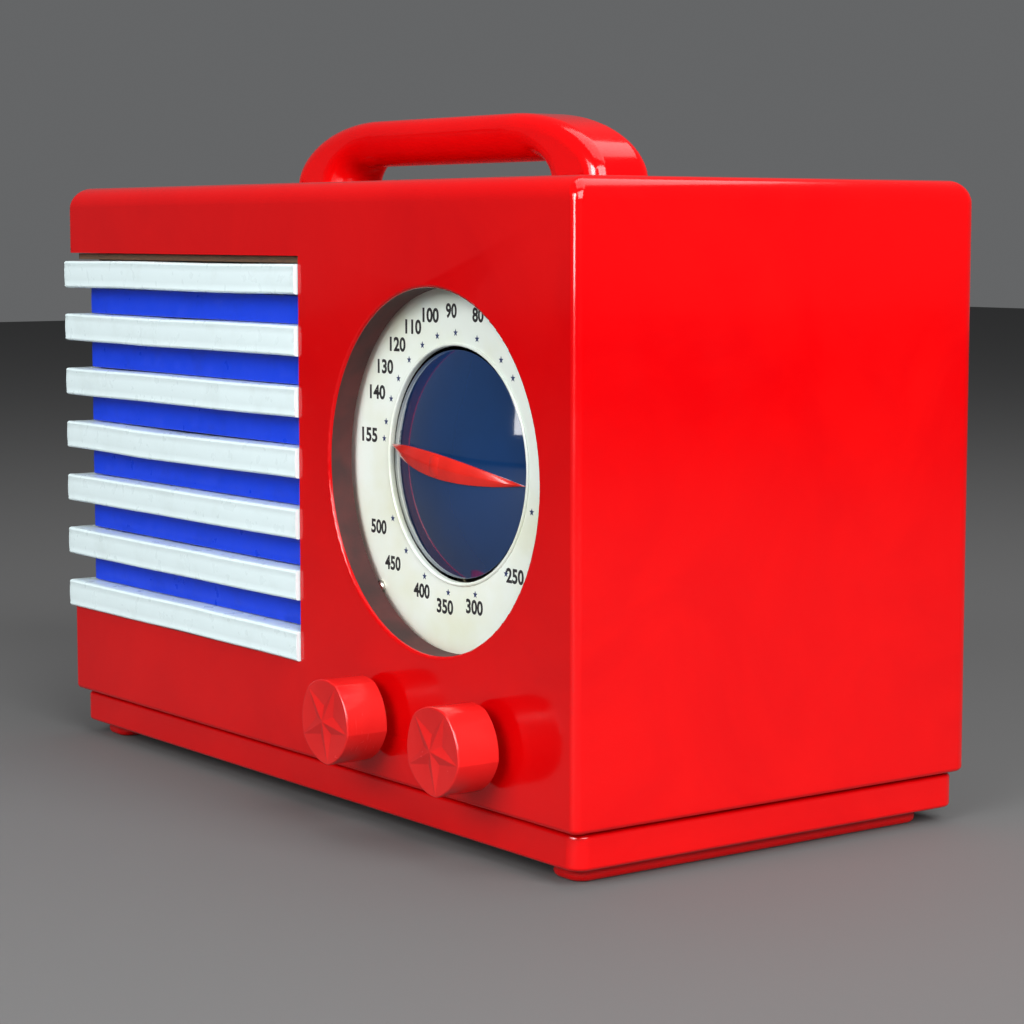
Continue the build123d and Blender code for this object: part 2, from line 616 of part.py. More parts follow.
def output_transformer():
    """Laminated core with its winding showing front and back, in a strap bolted to the chassis."""
    x, y = 18, 62
    core = block((x - 19, x + 19), (y - 8, y + 8), (CHASSIS_TOP + 1.2, CHASSIS_TOP + 34))
    strap = block((x - 26, x + 26), (y - 6, y + 6), (CHASSIS_TOP, CHASSIS_TOP + 1.2))
    coil = block((x - 10, x + 10), (y - 14, y + 14), (CHASSIS_TOP + 8, CHASSIS_TOP + 27))
    return core + strap + fillet(upright(coil), 4)


def paper_capacitors():
    """Wax-paper capacitors against the underside of the chassis."""
    under = CHASSIS_TOP - SHEET
    places = ((-60, 34, 6.5, 38), (-60, 52, 6.0, 34), (-70, 72, 6.5, 40), (70, 60, 5.5, 32), (-10, 40, 5.5, 30))
    return [Pos(x, y, under - r) * Rot(Y=90) * Cylinder(r, length) for x, y, r, length in places]


def resistors():
    under = CHASSIS_TOP - SHEET
    places = ((-16, 60), (-16, 70), (20, 62), (20, 72), (70, 76), (100, 62))
    return [Pos(x, y, under - 2.6) * Rot(Y=90) * Cylinder(2.6, 16) for x, y in places]


# ---- back -----------------------------------------------------------------------------------------------
def back_cover():
    """Fibreboard panel with rows of vent holes, held by four screws."""
    y0, y1 = COVER_Y
    panel = block((-HALF + WALL + 0.4, HALF - WALL - 0.4), COVER_Y, (FLOOR + 0.4, CEILING - 0.4))
    holes = [rod_y(x, z, 3.0, y0 - 1, y1 + 1) for z in (58.0, 70.0, 152.0, 164.0)
             for x in [-99.0 + 18.0 * n for n in range(12)]]
    holes += [rod_y(x, z, 1.7, y0 - 1, y1 + 1) for x, z in COVER_SCREWS]
    holes.append(rod_y(GROMMET_X, GROMMET_Z, 6.0, y0 - 1, y1 + 1))
    return panel - holes


def back_cover_screws():
    y0, y1 = COVER_Y
    return [rod_y(x, z, 1.5, y0 - 10, y1) + rod_y(x, z, 3.4, y1, y1 + 1.8) for x, z in COVER_SCREWS]


def loop_antenna():
    """Flat-wound loop on the inside of the back cover."""
    y1 = COVER_Y[0]
    ring = RectangleRounded(200, 70, 20) - RectangleRounded(160, 36, 10)
    return plate_y(ring, 0, 111, y1 - 2, y1)


def cord_grommet():
    """Rubber grommet in the back cover, the mains cord's way in."""
    y0, y1 = COVER_Y
    profile = [(MAINS_HOLE_R, y0 - 2), (8, y0 - 2), (8, y0), (6, y0), (6, y1), (8, y1), (8, y1 + 2),
               (MAINS_HOLE_R, y1 + 2)]
    return turned_y(GROMMET_X, GROMMET_Z, profile)


# ---- all nodes ------------------------------------------------------------------------------------------
def main():
    os.makedirs("parts", exist_ok=True)
    single = [cabinet, handle, grille_frame, grille_cloth, speaker_baffle, speaker_basket, cone_surround,
              speaker_cone, voice_coil, speaker_magnet, dial_face, dial_bracket, dial_dome, dial_pointer,
              rotor_shaft, rotor_plates, gang_stators, gang_frame, cord_drum, dial_cord, tuning_bushing,
              tuning_shaft, volume_control, volume_shaft, chassis, filter_capacitor, output_transformer,
              back_cover, loop_antenna, cord_grommet]
    groups = [handle_screws, speaker_screws, dial_screws, chassis_screws, tube_sockets, paper_capacitors,
              resistors, back_cover_screws]
    for make in single:
        save(make.__name__, make())
    for make in groups:
        save(make.__name__, *make())
    for number in range(1, BAR_COUNT + 1):
        save(f"grille_bar_{number}", grille_bar(number))
    for number in range(1, BAR_COUNT):
        save(f"grille_slat_{number}", grille_slat(number))
    save("tuning_knob", star_knob(TUNING_X))
    save("volume_knob", star_knob(VOLUME_X))
    for name, (x, height) in TUBES.items():
        save(name, *tube(x, height))
    for name, x in IF_CANS.items():
        save(name, if_can(x))


if __name__ == "__main__":
    main()
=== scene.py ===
import json
from math import atan2, cos, pi, radians, sin, sqrt

import bmesh
import bpy
from mathutils import Matrix, Vector

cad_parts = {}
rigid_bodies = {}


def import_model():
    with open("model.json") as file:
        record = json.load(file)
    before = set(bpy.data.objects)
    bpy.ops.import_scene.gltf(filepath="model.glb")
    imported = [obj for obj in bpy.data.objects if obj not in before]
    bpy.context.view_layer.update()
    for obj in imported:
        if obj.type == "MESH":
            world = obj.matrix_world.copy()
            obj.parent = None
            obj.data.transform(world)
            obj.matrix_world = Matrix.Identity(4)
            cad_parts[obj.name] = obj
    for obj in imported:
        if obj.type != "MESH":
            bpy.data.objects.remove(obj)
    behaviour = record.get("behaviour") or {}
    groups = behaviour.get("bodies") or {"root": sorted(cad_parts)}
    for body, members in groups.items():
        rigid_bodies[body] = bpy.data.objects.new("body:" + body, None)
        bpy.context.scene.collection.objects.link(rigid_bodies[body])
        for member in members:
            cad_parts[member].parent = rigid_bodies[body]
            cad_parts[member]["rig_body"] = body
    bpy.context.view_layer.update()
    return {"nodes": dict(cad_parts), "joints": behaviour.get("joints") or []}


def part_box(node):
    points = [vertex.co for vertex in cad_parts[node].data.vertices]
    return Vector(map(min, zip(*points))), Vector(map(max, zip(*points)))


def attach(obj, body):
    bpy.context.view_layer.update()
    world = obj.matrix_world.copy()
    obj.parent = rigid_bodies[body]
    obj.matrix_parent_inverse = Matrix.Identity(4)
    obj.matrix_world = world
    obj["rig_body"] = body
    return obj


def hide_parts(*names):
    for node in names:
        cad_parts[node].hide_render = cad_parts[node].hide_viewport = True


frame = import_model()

bl_info = {
    "name": "Phenolic table radio",
    "version": (1, 0, 0),
    "blender": (4, 5, 0),
    "location": "3D View > Sidebar > Radio",
    "description": "Dresses the packed model of a cast phenolic table radio",
    "category": "Object",
}

MM = 0.001
FULL_TURN = 6.28
WALL_REACH = 0.1 * MM       # how far past the opening's radius its wall still counts, for the painted shade on that wall
DOME_RISE = 7.5 * MM        # height of the dome's cap
BAR_BACK = 7.8 * MM         # depth of the bars' and slats' backs behind the cabinet's faces
CLOTH_DEPTH = (10.25 * MM, 10.75 * MM)
JOINT = {joint["name"]: joint for joint in frame["joints"]}
DIAL_AXIS = Vector(JOINT["dial_turn"]["pos_m"])
TUNING_AXIS = Vector(JOINT["tuning_turn"]["pos_m"])
VOLUME_AXIS = Vector(JOINT["volume_turn"]["pos_m"])
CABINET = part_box("cabinet")
FRONT_Y = CABINET[0].y
LEFT_X = CABINET[0].x
TUBES = ("rectifier_tube", "output_tube", "detector_tube", "if_amplifier_tube", "converter_tube")
BARS = [f"grille_bar_{n}" for n in range(1, 8)]
SLATS = [f"grille_slat_{n}" for n in range(1, 7)]

# Printed scale: label, angle of its star, then distance in millimetres and angle of its number, angles in
# degrees anticlockwise from the right. The upper half is in tens of kilocycles, the lower half in metres.
# An empty label is a star without a number.
DIAL_MARKS = (
    ("155", 172.1, 44.4, 172.6), ("", 164.2, 0, 0), ("140", 152.9, 43.8, 155.2), ("130", 141.7, 44.0, 143.9),
    ("120", 129.5, 43.7, 131.9), ("110", 116.9, 43.3, 119.3), ("100", 104.5, 43.1, 106.8),
    ("90", 90.4, 42.8, 93.1), ("80", 74.2, 43.2, 76.0), ("", 54.7, 0, 0), ("", 43.5, 0, 0),
    ("500", 209.1, 44.6, 207.9), ("450", 226.5, 44.6, 223.8), ("400", 244.3, 41.2, 245.0),
    ("350", 263.5, 41.0, 261.9), ("300", 284.1, 40.1, 282.3), ("250", 309.7, 39.7, 314.0),
    ("", 343.6, 0, 0),
)


# ---- small tools ----------------------------------------------------------------------------------------
def linear(code):
    """sRGB hex colour as a linear (r, g, b, 1)."""
    values = [int(code[i:i + 2], 16) / 255 for i in (1, 3, 5)]
    return tuple(v / 12.92 if v <= 0.04045 else ((v + 0.055) / 1.055) ** 2.4 for v in values) + (1.0,)


def per_mm(size):
    """Texture scale that gives a pattern of this size in millimetres on Object coordinates."""
    return 1.0 / (size * MM)


def add(tree, kind, inputs=None, **settings):
    """Add one node; inputs maps a socket's name or index to a value or to the socket that feeds it."""
    node = tree.nodes.new(kind)
    for key, value in settings.items():
        setattr(node, key, value)
    for socket, value in (inputs or {}).items():
        if isinstance(value, bpy.types.NodeSocket):
            tree.links.new(value, node.inputs[socket])
        else:
            node.inputs[socket].default_value = value
    return node


def new_material(name, settings=None):
    """Material with its Principled shader set: returns the material, tree, shader and coordinates."""
    material = bpy.data.materials.new(name)
    material.use_nodes = True
    tree = material.node_tree
    shader = tree.nodes["Principled BSDF"]
    for socket, value in (settings or {}).items():
        shader.inputs[socket].default_value = value
    place = add(tree, "ShaderNodeTexCoord").outputs["Object"]
    return material, tree, shader, place


def noise(tree, place, size_mm, detail, **more):
    """Noise with a grain of this size in millimetres."""
    inputs = {"Vector": place, "Scale": per_mm(size_mm), "Detail": detail, **more}
    return add(tree, "ShaderNodeTexNoise", inputs).outputs[0]


def mix_colours(tree, factor, first, second):
    """Colour between two, each a hex code or a linear triple, by a factor socket."""
    node = add(tree, "ShaderNodeMix", {0: factor}, data_type="RGBA")
    for socket, value in ((6, first), (7, second)):
        node.inputs[socket].default_value = linear(value) if isinstance(value, str) else (*value, 1.0)
    return node.outputs[2]


def two_tone(tree, shader, factor, first, second):
    """Base colour that runs between two by a factor socket."""
    tree.links.new(mix_colours(tree, factor, first, second), shader.inputs["Base Color"])


def spread(tree, value, low, high, to_low=0.0, to_high=1.0):
    """A value stretched from one range to another, clamped."""
    return add(tree, "ShaderNodeMapRange", {0: value, 1: low, 2: high, 3: to_low, 4: to_high}).outputs[0]


def set_bump(tree, shader, height, depth_mm, strength=1.0):
    bump = add(tree, "ShaderNodeBump", {"Height": height, "Strength": strength, "Distance": depth_mm * MM})
    tree.links.new(bump.outputs[0], shader.inputs["Normal"])


def new_object(name, mesh, *materials):
    obj = bpy.data.objects.new(name, mesh)
    bpy.context.scene.collection.objects.link(obj)
    for material in materials:
        mesh.materials.append(material)
    return obj


def mesh_from(name, points, faces):
    mesh = bpy.data.meshes.new(name)
    mesh.from_pydata([tuple(p) for p in points], [], faces)
    mesh.update()
    return mesh


def mesh_of(name, work, outward=True):
    """Mesh from a finished bmesh, its faces turned outwards."""
    if outward:
        bmesh.ops.recalc_face_normals(work, faces=work.faces)
    mesh = bpy.data.meshes.new(name)
    work.to_mesh(mesh)
    work.free()
    return mesh


def around(centre, reach, angle, y):
    """Point at a distance and an angle about a centre, in the XZ plane at y."""
    return Vector((centre.x + reach * cos(angle), y, centre.z + reach * sin(angle)))


def skin(work, rings):
    """Faces between each ring of vertices and the next; a ring of one vertex is a point."""
    for first, second in zip(rings, rings[1:]):
        count = max(len(first), len(second))
        for n in range(count if count > 1 else 0):
            m = n + 1
            corners = [first[n % len(first)], first[m % len(first)],
                       second[m % len(second)], second[n % len(second)]]
            work.faces.new(list(dict.fromkeys(corners)))


def shade(mesh, crease=35.0):
    """Smooth shading, broken at edges sharper than the crease angle."""
    mesh.polygons.foreach_set("use_smooth", [True] * len(mesh.polygons))
    mesh.set_sharp_from_angle(angle=radians(crease))


def finish_mesh(obj, bevel_mm, crease):
    """Apply the finishing modifiers: bevelled edges, and normals weighted by face area."""
    shade(obj.data, crease)
    if bevel_mm:
        bevel = obj.modifiers.new("bevel", "BEVEL")
        bevel.width = bevel_mm * MM
        bevel.segments = 3
        bevel.limit_method = "ANGLE"
        bevel.angle_limit = radians(crease)
        bevel.use_clamp_overlap = True
    weigh = obj.modifiers.new("weigh", "WEIGHTED_NORMAL")
    weigh.keep_sharp = True
    apply_modifiers(obj)
    return obj


def apply_modifiers(obj):
    """Turn the evaluated object into its plain mesh and remove the modifiers."""
    evaluated = obj.evaluated_get(bpy.context.evaluated_depsgraph_get())
    mesh = bpy.data.meshes.new_from_object(evaluated)
    mesh.name = obj.name
    obj.modifiers.clear()
    obj.data = mesh
    return obj


def merged_copy(node, name, material, crease):
    """Piece that replaces a CAD node with the same shape, its triangles joined and smoothly shaded."""
    mesh = frame["nodes"][node].data.copy()
    mesh.materials.clear()
    work = bmesh.new()
    work.from_mesh(mesh)
    bmesh.ops.remove_doubles(work, verts=work.verts, dist=0.002 * MM)
    bmesh.ops.dissolve_degenerate(work, edges=work.edges, dist=0.001 * MM)
    work.to_mesh(mesh)
    work.free()
    piece = new_object(name, mesh, material)
    finish_mesh(piece, 0, crease)
    return keep(piece, node)


def keep(piece, *nodes, body=None):
    """Make a piece stand for CAD nodes: it rides on their body and the nodes are hidden."""
    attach(piece, body or frame["nodes"][nodes[0]]["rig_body"])
    if nodes:
        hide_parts(*nodes)
    return piece


def finished(name, mesh, finish, crease, *nodes):
    """Piece in one finish that stands for CAD nodes."""
    shade(mesh, crease)
    return keep(new_object(name, mesh, MATERIAL[finish]), *nodes)


def dress(node, material):
    """Give a CAD node its material."""
    mesh = frame["nodes"][node].data
    mesh.materials.clear()
    mesh.materials.append(material)


def turned(name, centre, profile, segments=96):
    """Surface of revolution about the Y axis through a centre; profile points are (radius, y) in metres."""
    work = bmesh.new()
    rings = []
    for radius, y in profile:
        angles = [2 * pi * n / segments for n in range(segments if radius > 1e-7 else 1)]
        rings.append([work.verts.new(around(centre, radius, angle, y)) for angle in angles])
    skin(work, rings + rings[:1])
    return mesh_of(name, work)


def turned_upright(name, centre, profile, segments=64):
    """The same about the Z axis; profile points are (radius, z)."""
    mesh = turned(name, Vector((0, 0, 0)), [(r, -z) for r, z in profile], segments)
    mesh.transform(Matrix.Translation((centre.x, centre.y, 0)) @ Matrix.Rotation(-pi / 2, 4, "X"))
    return mesh


def joined(name, meshes, own_slots=False):
    """One mesh from several, all in the first material slot or each in its own, in order."""
    work = bmesh.new()
    for index, mesh in enumerate(meshes):
        before = len(work.faces)
        work.from_mesh(mesh)
        work.faces.ensure_lookup_table()
        for face in work.faces[before:]:
            face.material_index = index if own_slots else 0
    return mesh_of(name, work, outward=False)


def arc(centre, radius, start, end, steps):
    """Points of an arc in the (radius, y) plane, angles in degrees."""
    angles = [radians(start + (end - start) * n / steps) for n in range(steps + 1)]
    return [(centre[0] + radius * cos(a), centre[1] + radius * sin(a)) for a in angles]


# ---- materials ------------------------------------------------------------------------------------------
def cast_phenolic(name, deep, light, roughness):
    """Cast phenolic resin, buffed and waxed: deep even colour with faint cloudy flow, a mirror-like skin
    that waves a little from hand buffing, and fine hazy scratches."""
    material, tree, shader, place = new_material(name, {
        "IOR": 1.52, "Specular IOR Level": 0.3, "Coat Weight": 0.12, "Coat Roughness": 0.04})
    cloud = noise(tree, place, 55, 4.0, Roughness=0.6, Distortion=0.8)
    two_tone(tree, shader, spread(tree, cloud, 0.35, 0.68), deep, light)
    haze = noise(tree, place, 28, 6.0)
    stretch = add(tree, "ShaderNodeMapping", {"Vector": place, "Rotation": (0.3, 0.5, 0.9),
                                              "Scale": (1.0, 18.0, 3.0)})
    streak = spread(tree, noise(tree, stretch.outputs[0], 9, 3.0), 0.62, 0.75, 0.0, 0.05)
    skin = spread(tree, haze, 0.3, 0.7, roughness * 0.75, roughness * 1.35)
    rough = add(tree, "ShaderNodeMath", {0: skin, 1: streak}, operation="ADD")
    tree.links.new(rough.outputs[0], shader.inputs["Roughness"])
    set_bump(tree, shader, noise(tree, place, 42, 1.5), 0.4, 0.25)
    return material


def moulded_acetate(name, main, stained, roughness):
    """Moulded cellulose acetate: soft gloss, slightly uneven colour with grime in patches, sunken surface."""
    material, tree, shader, place = new_material(name, {"IOR": 1.48})
    grime = noise(tree, place, 14, 7.0, Roughness=0.7)
    two_tone(tree, shader, spread(tree, grime, 0.52, 0.78, 0.0, 0.8), main, stained)
    skin = spread(tree, noise(tree, place, 5, 4.0), 0.3, 0.7, roughness * 0.8, roughness * 1.3)
    tree.links.new(skin, shader.inputs["Roughness"])
    set_bump(tree, shader, noise(tree, place, 16, 2.0), 0.35, 0.5)
    return material


def baked_enamel(name, main, aged, roughness, coat=0.0, patch_mm=22.0):
    """Stoved enamel on metal: smooth paint, faintly yellowed in patches, with tiny dust nibs."""
    material, tree, shader, place = new_material(name, {
        "Roughness": roughness, "Coat Weight": coat, "Coat Roughness": 0.03, "IOR": 1.52})
    age = noise(tree, place, patch_mm, 5.0)
    two_tone(tree, shader, spread(tree, age, 0.42, 0.72, 0.0, 0.9), main, aged)
    set_bump(tree, shader, noise(tree, place, 1.6, 2.0), 0.03, 0.35)
    return material


def printing_ink(name, main, worn):
    """Letterpress ink: flat, slightly worn through."""
    material, tree, shader, place = new_material(name, {"Roughness": 0.55})
    wear = noise(tree, place, 0.9, 3.0)
    two_tone(tree, shader, spread(tree, wear, 0.55, 0.75, 0.0, 0.7), main, worn)
    return material


def metal(name, main, dull, roughness, grain_mm, brushed=(1.0, 1.0, 1.0)):
    """Bare or plated metal: roughness follows a grain, stretched along the way it was worked, with
    patches of tarnish."""
    material, tree, shader, place = new_material(name, {"Metallic": 1.0})
    patches = noise(tree, place, 12, 6.0)
    two_tone(tree, shader, spread(tree, patches, 0.45, 0.75), main, dull)
    lay = add(tree, "ShaderNodeMapping", {"Vector": place, "Scale": brushed})
    grain = noise(tree, lay.outputs[0], grain_mm, 3.0)
    tree.links.new(spread(tree, grain, 0.3, 0.7, roughness * 0.7, roughness * 1.4), shader.inputs["Roughness"])
    set_bump(tree, shader, grain, 0.02, 0.3)
    return material


def grille_weave():
    """Plain-woven grille cloth, black threads 0.9 mm apart: drawn a little coarse so that it shows."""
    material, tree, shader, place = new_material("woven_grille_cloth", {"Roughness": 0.9, "Sheen Weight": 0.25})
    bands = []
    for direction in ("X", "Z"):
        wave = add(tree, "ShaderNodeTexWave", {
            "Vector": place, "Scale": per_mm(0.9) / FULL_TURN, "Distortion": 0.4},
            wave_type="BANDS", bands_direction=direction)
        bands.append(wave.outputs["Fac"])
    weave = add(tree, "ShaderNodeMath", {0: bands[0], 1: bands[1]}, operation="MULTIPLY")
    two_tone(tree, shader, weave.outputs[0], "#0B0B0E", "#2B2B31")
    set_bump(tree, shader, weave.outputs[0], 0.25, 0.9)
    return material


def pressed_fibreboard():
    """Hardboard: brown wood pulp pressed smooth, with long fibres and darker flecks."""
    material, tree, shader, place = new_material("pressed_fibreboard", {"Roughness": 0.62})
    lay = add(tree, "ShaderNodeMapping", {
        "Vector": place, "Rotation": (0.0, 0.4, 0.0), "Scale": (1.0, 1.0, 5.0)})
    fibre = noise(tree, lay.outputs[0], 4.5, 8.0, Roughness=0.75, Distortion=1.2)
    flecks = add(tree, "ShaderNodeTexVoronoi", {"Vector": lay.outputs[0], "Scale": per_mm(3.0)})
    base = mix_colours(tree, spread(tree, fibre, 0.3, 0.7), "#3A2617", "#6B4A2C")
    dark = add(tree, "ShaderNodeMix", {0: spread(tree, flecks.outputs[0], 0.05, 0.22, 0.55, 0.0), 6: base},
               data_type="RGBA")
    dark.inputs[7].default_value = linear("#1D120A")
    tree.links.new(dark.outputs[2], shader.inputs["Base Color"])
    set_bump(tree, shader, fibre, 0.12, 0.6)
    return material


def plain(name, light, dark, roughness, patch_mm, depth_mm, metallic=0.0):
    """Everyday surface with two tones in patches and a matching fine relief."""
    material, tree, shader, place = new_material(name, {"Roughness": roughness, "Metallic": metallic})
    patch = noise(tree, place, patch_mm, 6.0)
    two_tone(tree, shader, spread(tree, patch, 0.35, 0.7), light, dark)
    set_bump(tree, shader, patch, depth_mm, 0.5)
    return material


def tube_glass():
    """Thin lime glass: clear, faintly grey."""
    material, tree, shader, place = new_material("tube_glass", {
        "Base Color": linear("#EEF2F0"), "Transmission Weight": 1.0, "IOR": 1.50})
    smear = noise(tree, place, 9, 3.0)
    tree.links.new(spread(tree, smear, 0.4, 0.7, 0.02, 0.10), shader.inputs["Roughness"])
    return material


def braided_cord():
    """Waxed braid on the dial cord: a tight diagonal pattern."""
    material, tree, shader, place = new_material("braided_cord", {"Roughness": 0.7})
    wave = add(tree, "ShaderNodeTexWave", {"Vector": place, "Scale": per_mm(0.7) / FULL_TURN},
               bands_direction="DIAGONAL")
    two_tone(tree, shader, wave.outputs["Fac"], "#6F6548", "#C9BC93")
    set_bump(tree, shader, wave.outputs["Fac"], 0.1, 0.8)
    return material


MATERIAL = {}


def make_materials(look):
    """All finishes, named for what they are."""
    MATERIAL.update({
        "cabinet": cast_phenolic("cast_phenolic_red", look.deep_red, look.bright_red, 0.13),
        # painted shade: dark brown for the shadowed wall of the dial's opening
        "opening_wall_shade": plain("cast_phenolic_unbuffed", "#4A1512", "#2E0D0B", 0.7, 9.0, 0.05),
        "knob": cast_phenolic("cast_phenolic_knob", "#C21414", "#D02220", 0.22),
        "white": moulded_acetate("moulded_acetate_white", "#DFF0F2", "#D2E2E2", 0.30),
        "blue": moulded_acetate("moulded_acetate_blue", "#0A3CD2", "#0833B8", 0.34),
        "dial": baked_enamel("enamelled_dial", "#E9F2EA", "#E0E6CF", 0.32),
        "ink": printing_ink("printing_ink_black", "#0C0D10", "#24262C"),
        "navy_ink": printing_ink("printing_ink_navy", "#10285A", "#24406E"),
        "dome": baked_enamel("enamelled_dome_blue", "#0A305E", "#0A2A50", 0.08, 1.0, 40.0),
        "pointer": baked_enamel("enamelled_pointer_red", "#D81E10", "#C4180C", 0.24, 0.6, 12.0),
        "cloth": grille_weave(),
        "board": pressed_fibreboard(),
        "paper": plain("pressed_paper_black", "#24211E", "#121110", 0.85, 2.5, 0.1),
        "steel": metal("cadmium_plated_steel", "#A9A79C", "#7F7D70", 0.34, 1.2, (1.0, 6.0, 1.0)),
        "screw": metal("nickel_plated_screw", "#B5B2AA", "#8A867B", 0.28, 0.8),
        "iron": plain("black_lacquered_iron", "#2A2A2C", "#17171A", 0.45, 3.0, 0.05),
        "winding": plain("varnished_paper_winding", "#8A6A35", "#6B4E22", 0.5, 4.0, 0.05),
        "aluminium": metal("drawn_aluminium", "#C9CBCD", "#A7AAAD", 0.30, 0.7, (8.0, 8.0, 1.0)),
        "brass": metal("turned_brass", "#C9A24E", "#8F6F30", 0.26, 0.5),
        "copper": metal("enamelled_copper_wire", "#B5622E", "#8A441E", 0.35, 0.6),
        "socket": plain("paper_phenolic_sheet", "#4A2E1A", "#33200F", 0.5, 1.5, 0.03),
        "wax": plain("waxed_paper", "#B08F4C", "#8C6D33", 0.42, 5.0, 0.06),
        "resistor": plain("painted_resistor", "#7A4A26", "#5B3418", 0.35, 3.0, 0.03),
        "tube_base": plain("moulded_bakelite_base", "#2A1A12", "#1B100B", 0.3, 4.0, 0.02),
        "tube_plate": plain("carbonised_nickel", "#3B3B3D", "#252527", 0.6, 2.0, 0.05, 0.6),
        "mica": plain("mica_spacer", "#B9B4A0", "#9C9680", 0.3, 3.0, 0.02),
        "glass": tube_glass(),
        "getter": metal("getter_flash", "#2B2B2E", "#111114", 0.12, 3.0),
        "cotton": plain("cotton_covered_wire", "#8E8A55", "#6E6A3E", 0.8, 1.2, 0.2),
        "rubber": plain("moulded_rubber", "#1A1A1A", "#0D0D0D", 0.6, 2.0, 0.05),
        "cord": braided_cord(),
    })


# ---- geometry nodes -------------------------------------------------------------------------------------
def new_tree(name, sockets):
    tree = bpy.data.node_groups.new(name, "GeometryNodeTree")
    for label, kind in sockets:
        tree.interface.new_socket(label, in_out="INPUT", socket_type=f"NodeSocket{kind}")
    tree.interface.new_socket("Geometry", in_out="OUTPUT", socket_type="NodeSocketGeometry")
    return tree, add(tree, "NodeGroupInput").outputs


def end_tree(tree, geometry, material):
    painted = add(tree, "GeometryNodeSetMaterial", {"Geometry": geometry, "Material": material})
    add(tree, "NodeGroupOutput", {0: painted.outputs[0]})
    return tree


def repeat_tree():
    """A piece on every point, spun at random about each axis and warped a little along its length."""
    tree, given = new_tree("repeat_on_points", (
        ("Points", "Geometry"), ("Piece", "Object"), ("Material", "Material"), ("Spin", "Vector"),
        ("Seed", "Int"), ("Warp", "Vector"), ("Wave", "Float")))
    index = add(tree, "GeometryNodeInputIndex").outputs[0]
    numbered = add(tree, "GeometryNodeStoreNamedAttribute", {
        "Geometry": given["Points"], "Name": "copy_number", "Value": index}, data_type="INT")
    spin = add(tree, "FunctionNodeRandomValue", {1: given["Spin"], "Seed": given["Seed"]},
               data_type="FLOAT_VECTOR")
    spin.inputs[0].default_value = (0, 0, 0)
    piece = add(tree, "GeometryNodeObjectInfo", {"Object": given["Piece"], "As Instance": True})
    placed = add(tree, "GeometryNodeInstanceOnPoints", {
        "Points": numbered.outputs[0], "Instance": piece.outputs["Geometry"], "Rotation": spin.outputs[0]})
    real = add(tree, "GeometryNodeRealizeInstances", {"Geometry": placed.outputs[0]})
    number = add(tree, "GeometryNodeInputNamedAttribute", {"Name": "copy_number"}, data_type="INT")
    place = add(tree, "GeometryNodeInputPosition").outputs[0]
    parts = add(tree, "ShaderNodeSeparateXYZ", {0: place}).outputs
    along = add(tree, "ShaderNodeMath", {0: parts[0], 1: parts[1]}, operation="SUBTRACT")
    steps = add(tree, "ShaderNodeMath", {0: along.outputs[0], 1: given["Wave"]}, operation="DIVIDE")
    apart = add(tree, "ShaderNodeMath", {0: number.outputs[0], 1: 7.3}, operation="MULTIPLY")
    where = add(tree, "ShaderNodeCombineXYZ", {0: steps.outputs[0], 1: apart.outputs[0], 2: given["Seed"]})
    drift = add(tree, "ShaderNodeTexNoise", {"Vector": where.outputs[0], "Scale": 1.0, "Detail": 1.0})
    level = add(tree, "ShaderNodeVectorMath", {0: drift.outputs["Color"], 1: (0, 0, 0.5)}, operation="SUBTRACT")
    offset = add(tree, "ShaderNodeVectorMath", {0: level.outputs[0], 1: given["Warp"]}, operation="MULTIPLY")
    moved = add(tree, "GeometryNodeSetPosition", {"Geometry": real.outputs[0], "Offset": offset.outputs[0]})
    return end_tree(tree, moved.outputs[0], given["Material"])


def wire_tree():
    """Round wire along every edge chain of a mesh."""
    tree, given = new_tree("wire_on_path", (
        ("Path", "Geometry"), ("Material", "Material"), ("Radius", "Float")))
    curve = add(tree, "GeometryNodeMeshToCurve", {"Mesh": given["Path"]})
    circle = add(tree, "GeometryNodeCurvePrimitiveCircle", {"Resolution": 8, "Radius": given["Radius"]})
    wire = add(tree, "GeometryNodeCurveToMesh", {"Curve": curve.outputs[0], "Profile Curve": circle.outputs[0],
                                                 "Fill Caps": True})
    smooth = add(tree, "GeometryNodeSetShadeSmooth", {"Geometry": wire.outputs[0]})
    real = add(tree, "GeometryNodeRealizeInstances", {"Geometry": smooth.outputs[0]})
    return end_tree(tree, real.outputs[0], given["Material"])


def run_tree(obj, tree, **inputs):
    """Give an object a tree with these inputs and turn the result into a plain mesh."""
    modifier = obj.modifiers.new(tree.name, "NODES")
    modifier.node_group = tree
    sockets = {item.name: item.identifier for item in tree.interface.items_tree if item.in_out == "INPUT"}
    for label, value in inputs.items():
        modifier[sockets[label]] = value
    obj.update_tag()
    return apply_modifiers(obj)


def repeat(name, points, mesh, material, spin=(0, 0, 0), seed=1, warp=(0, 0, 0), wave=0.07):
    """One piece made of a mesh repeated on points."""
    tree = bpy.data.node_groups.get("repeat_on_points") or repeat_tree()
    pattern = new_object(name + "_pattern", mesh)
    piece = new_object(name, mesh_from(name, points, []))
    run_tree(piece, tree, Piece=pattern, Material=material, Spin=spin, Seed=seed, Warp=warp, Wave=wave)
    bpy.data.objects.remove(pattern)
    return piece


def wire(name, points, radius, material):
    """Round wire through points."""
    tree = bpy.data.node_groups.get("wire_on_path") or wire_tree()
    mesh = bpy.data.meshes.new(name)
    mesh.from_pydata([tuple(p) for p in points], [(n, n + 1) for n in range(len(points) - 1)], [])
    return run_tree(new_object(name, mesh), tree, Material=material, Radius=radius)


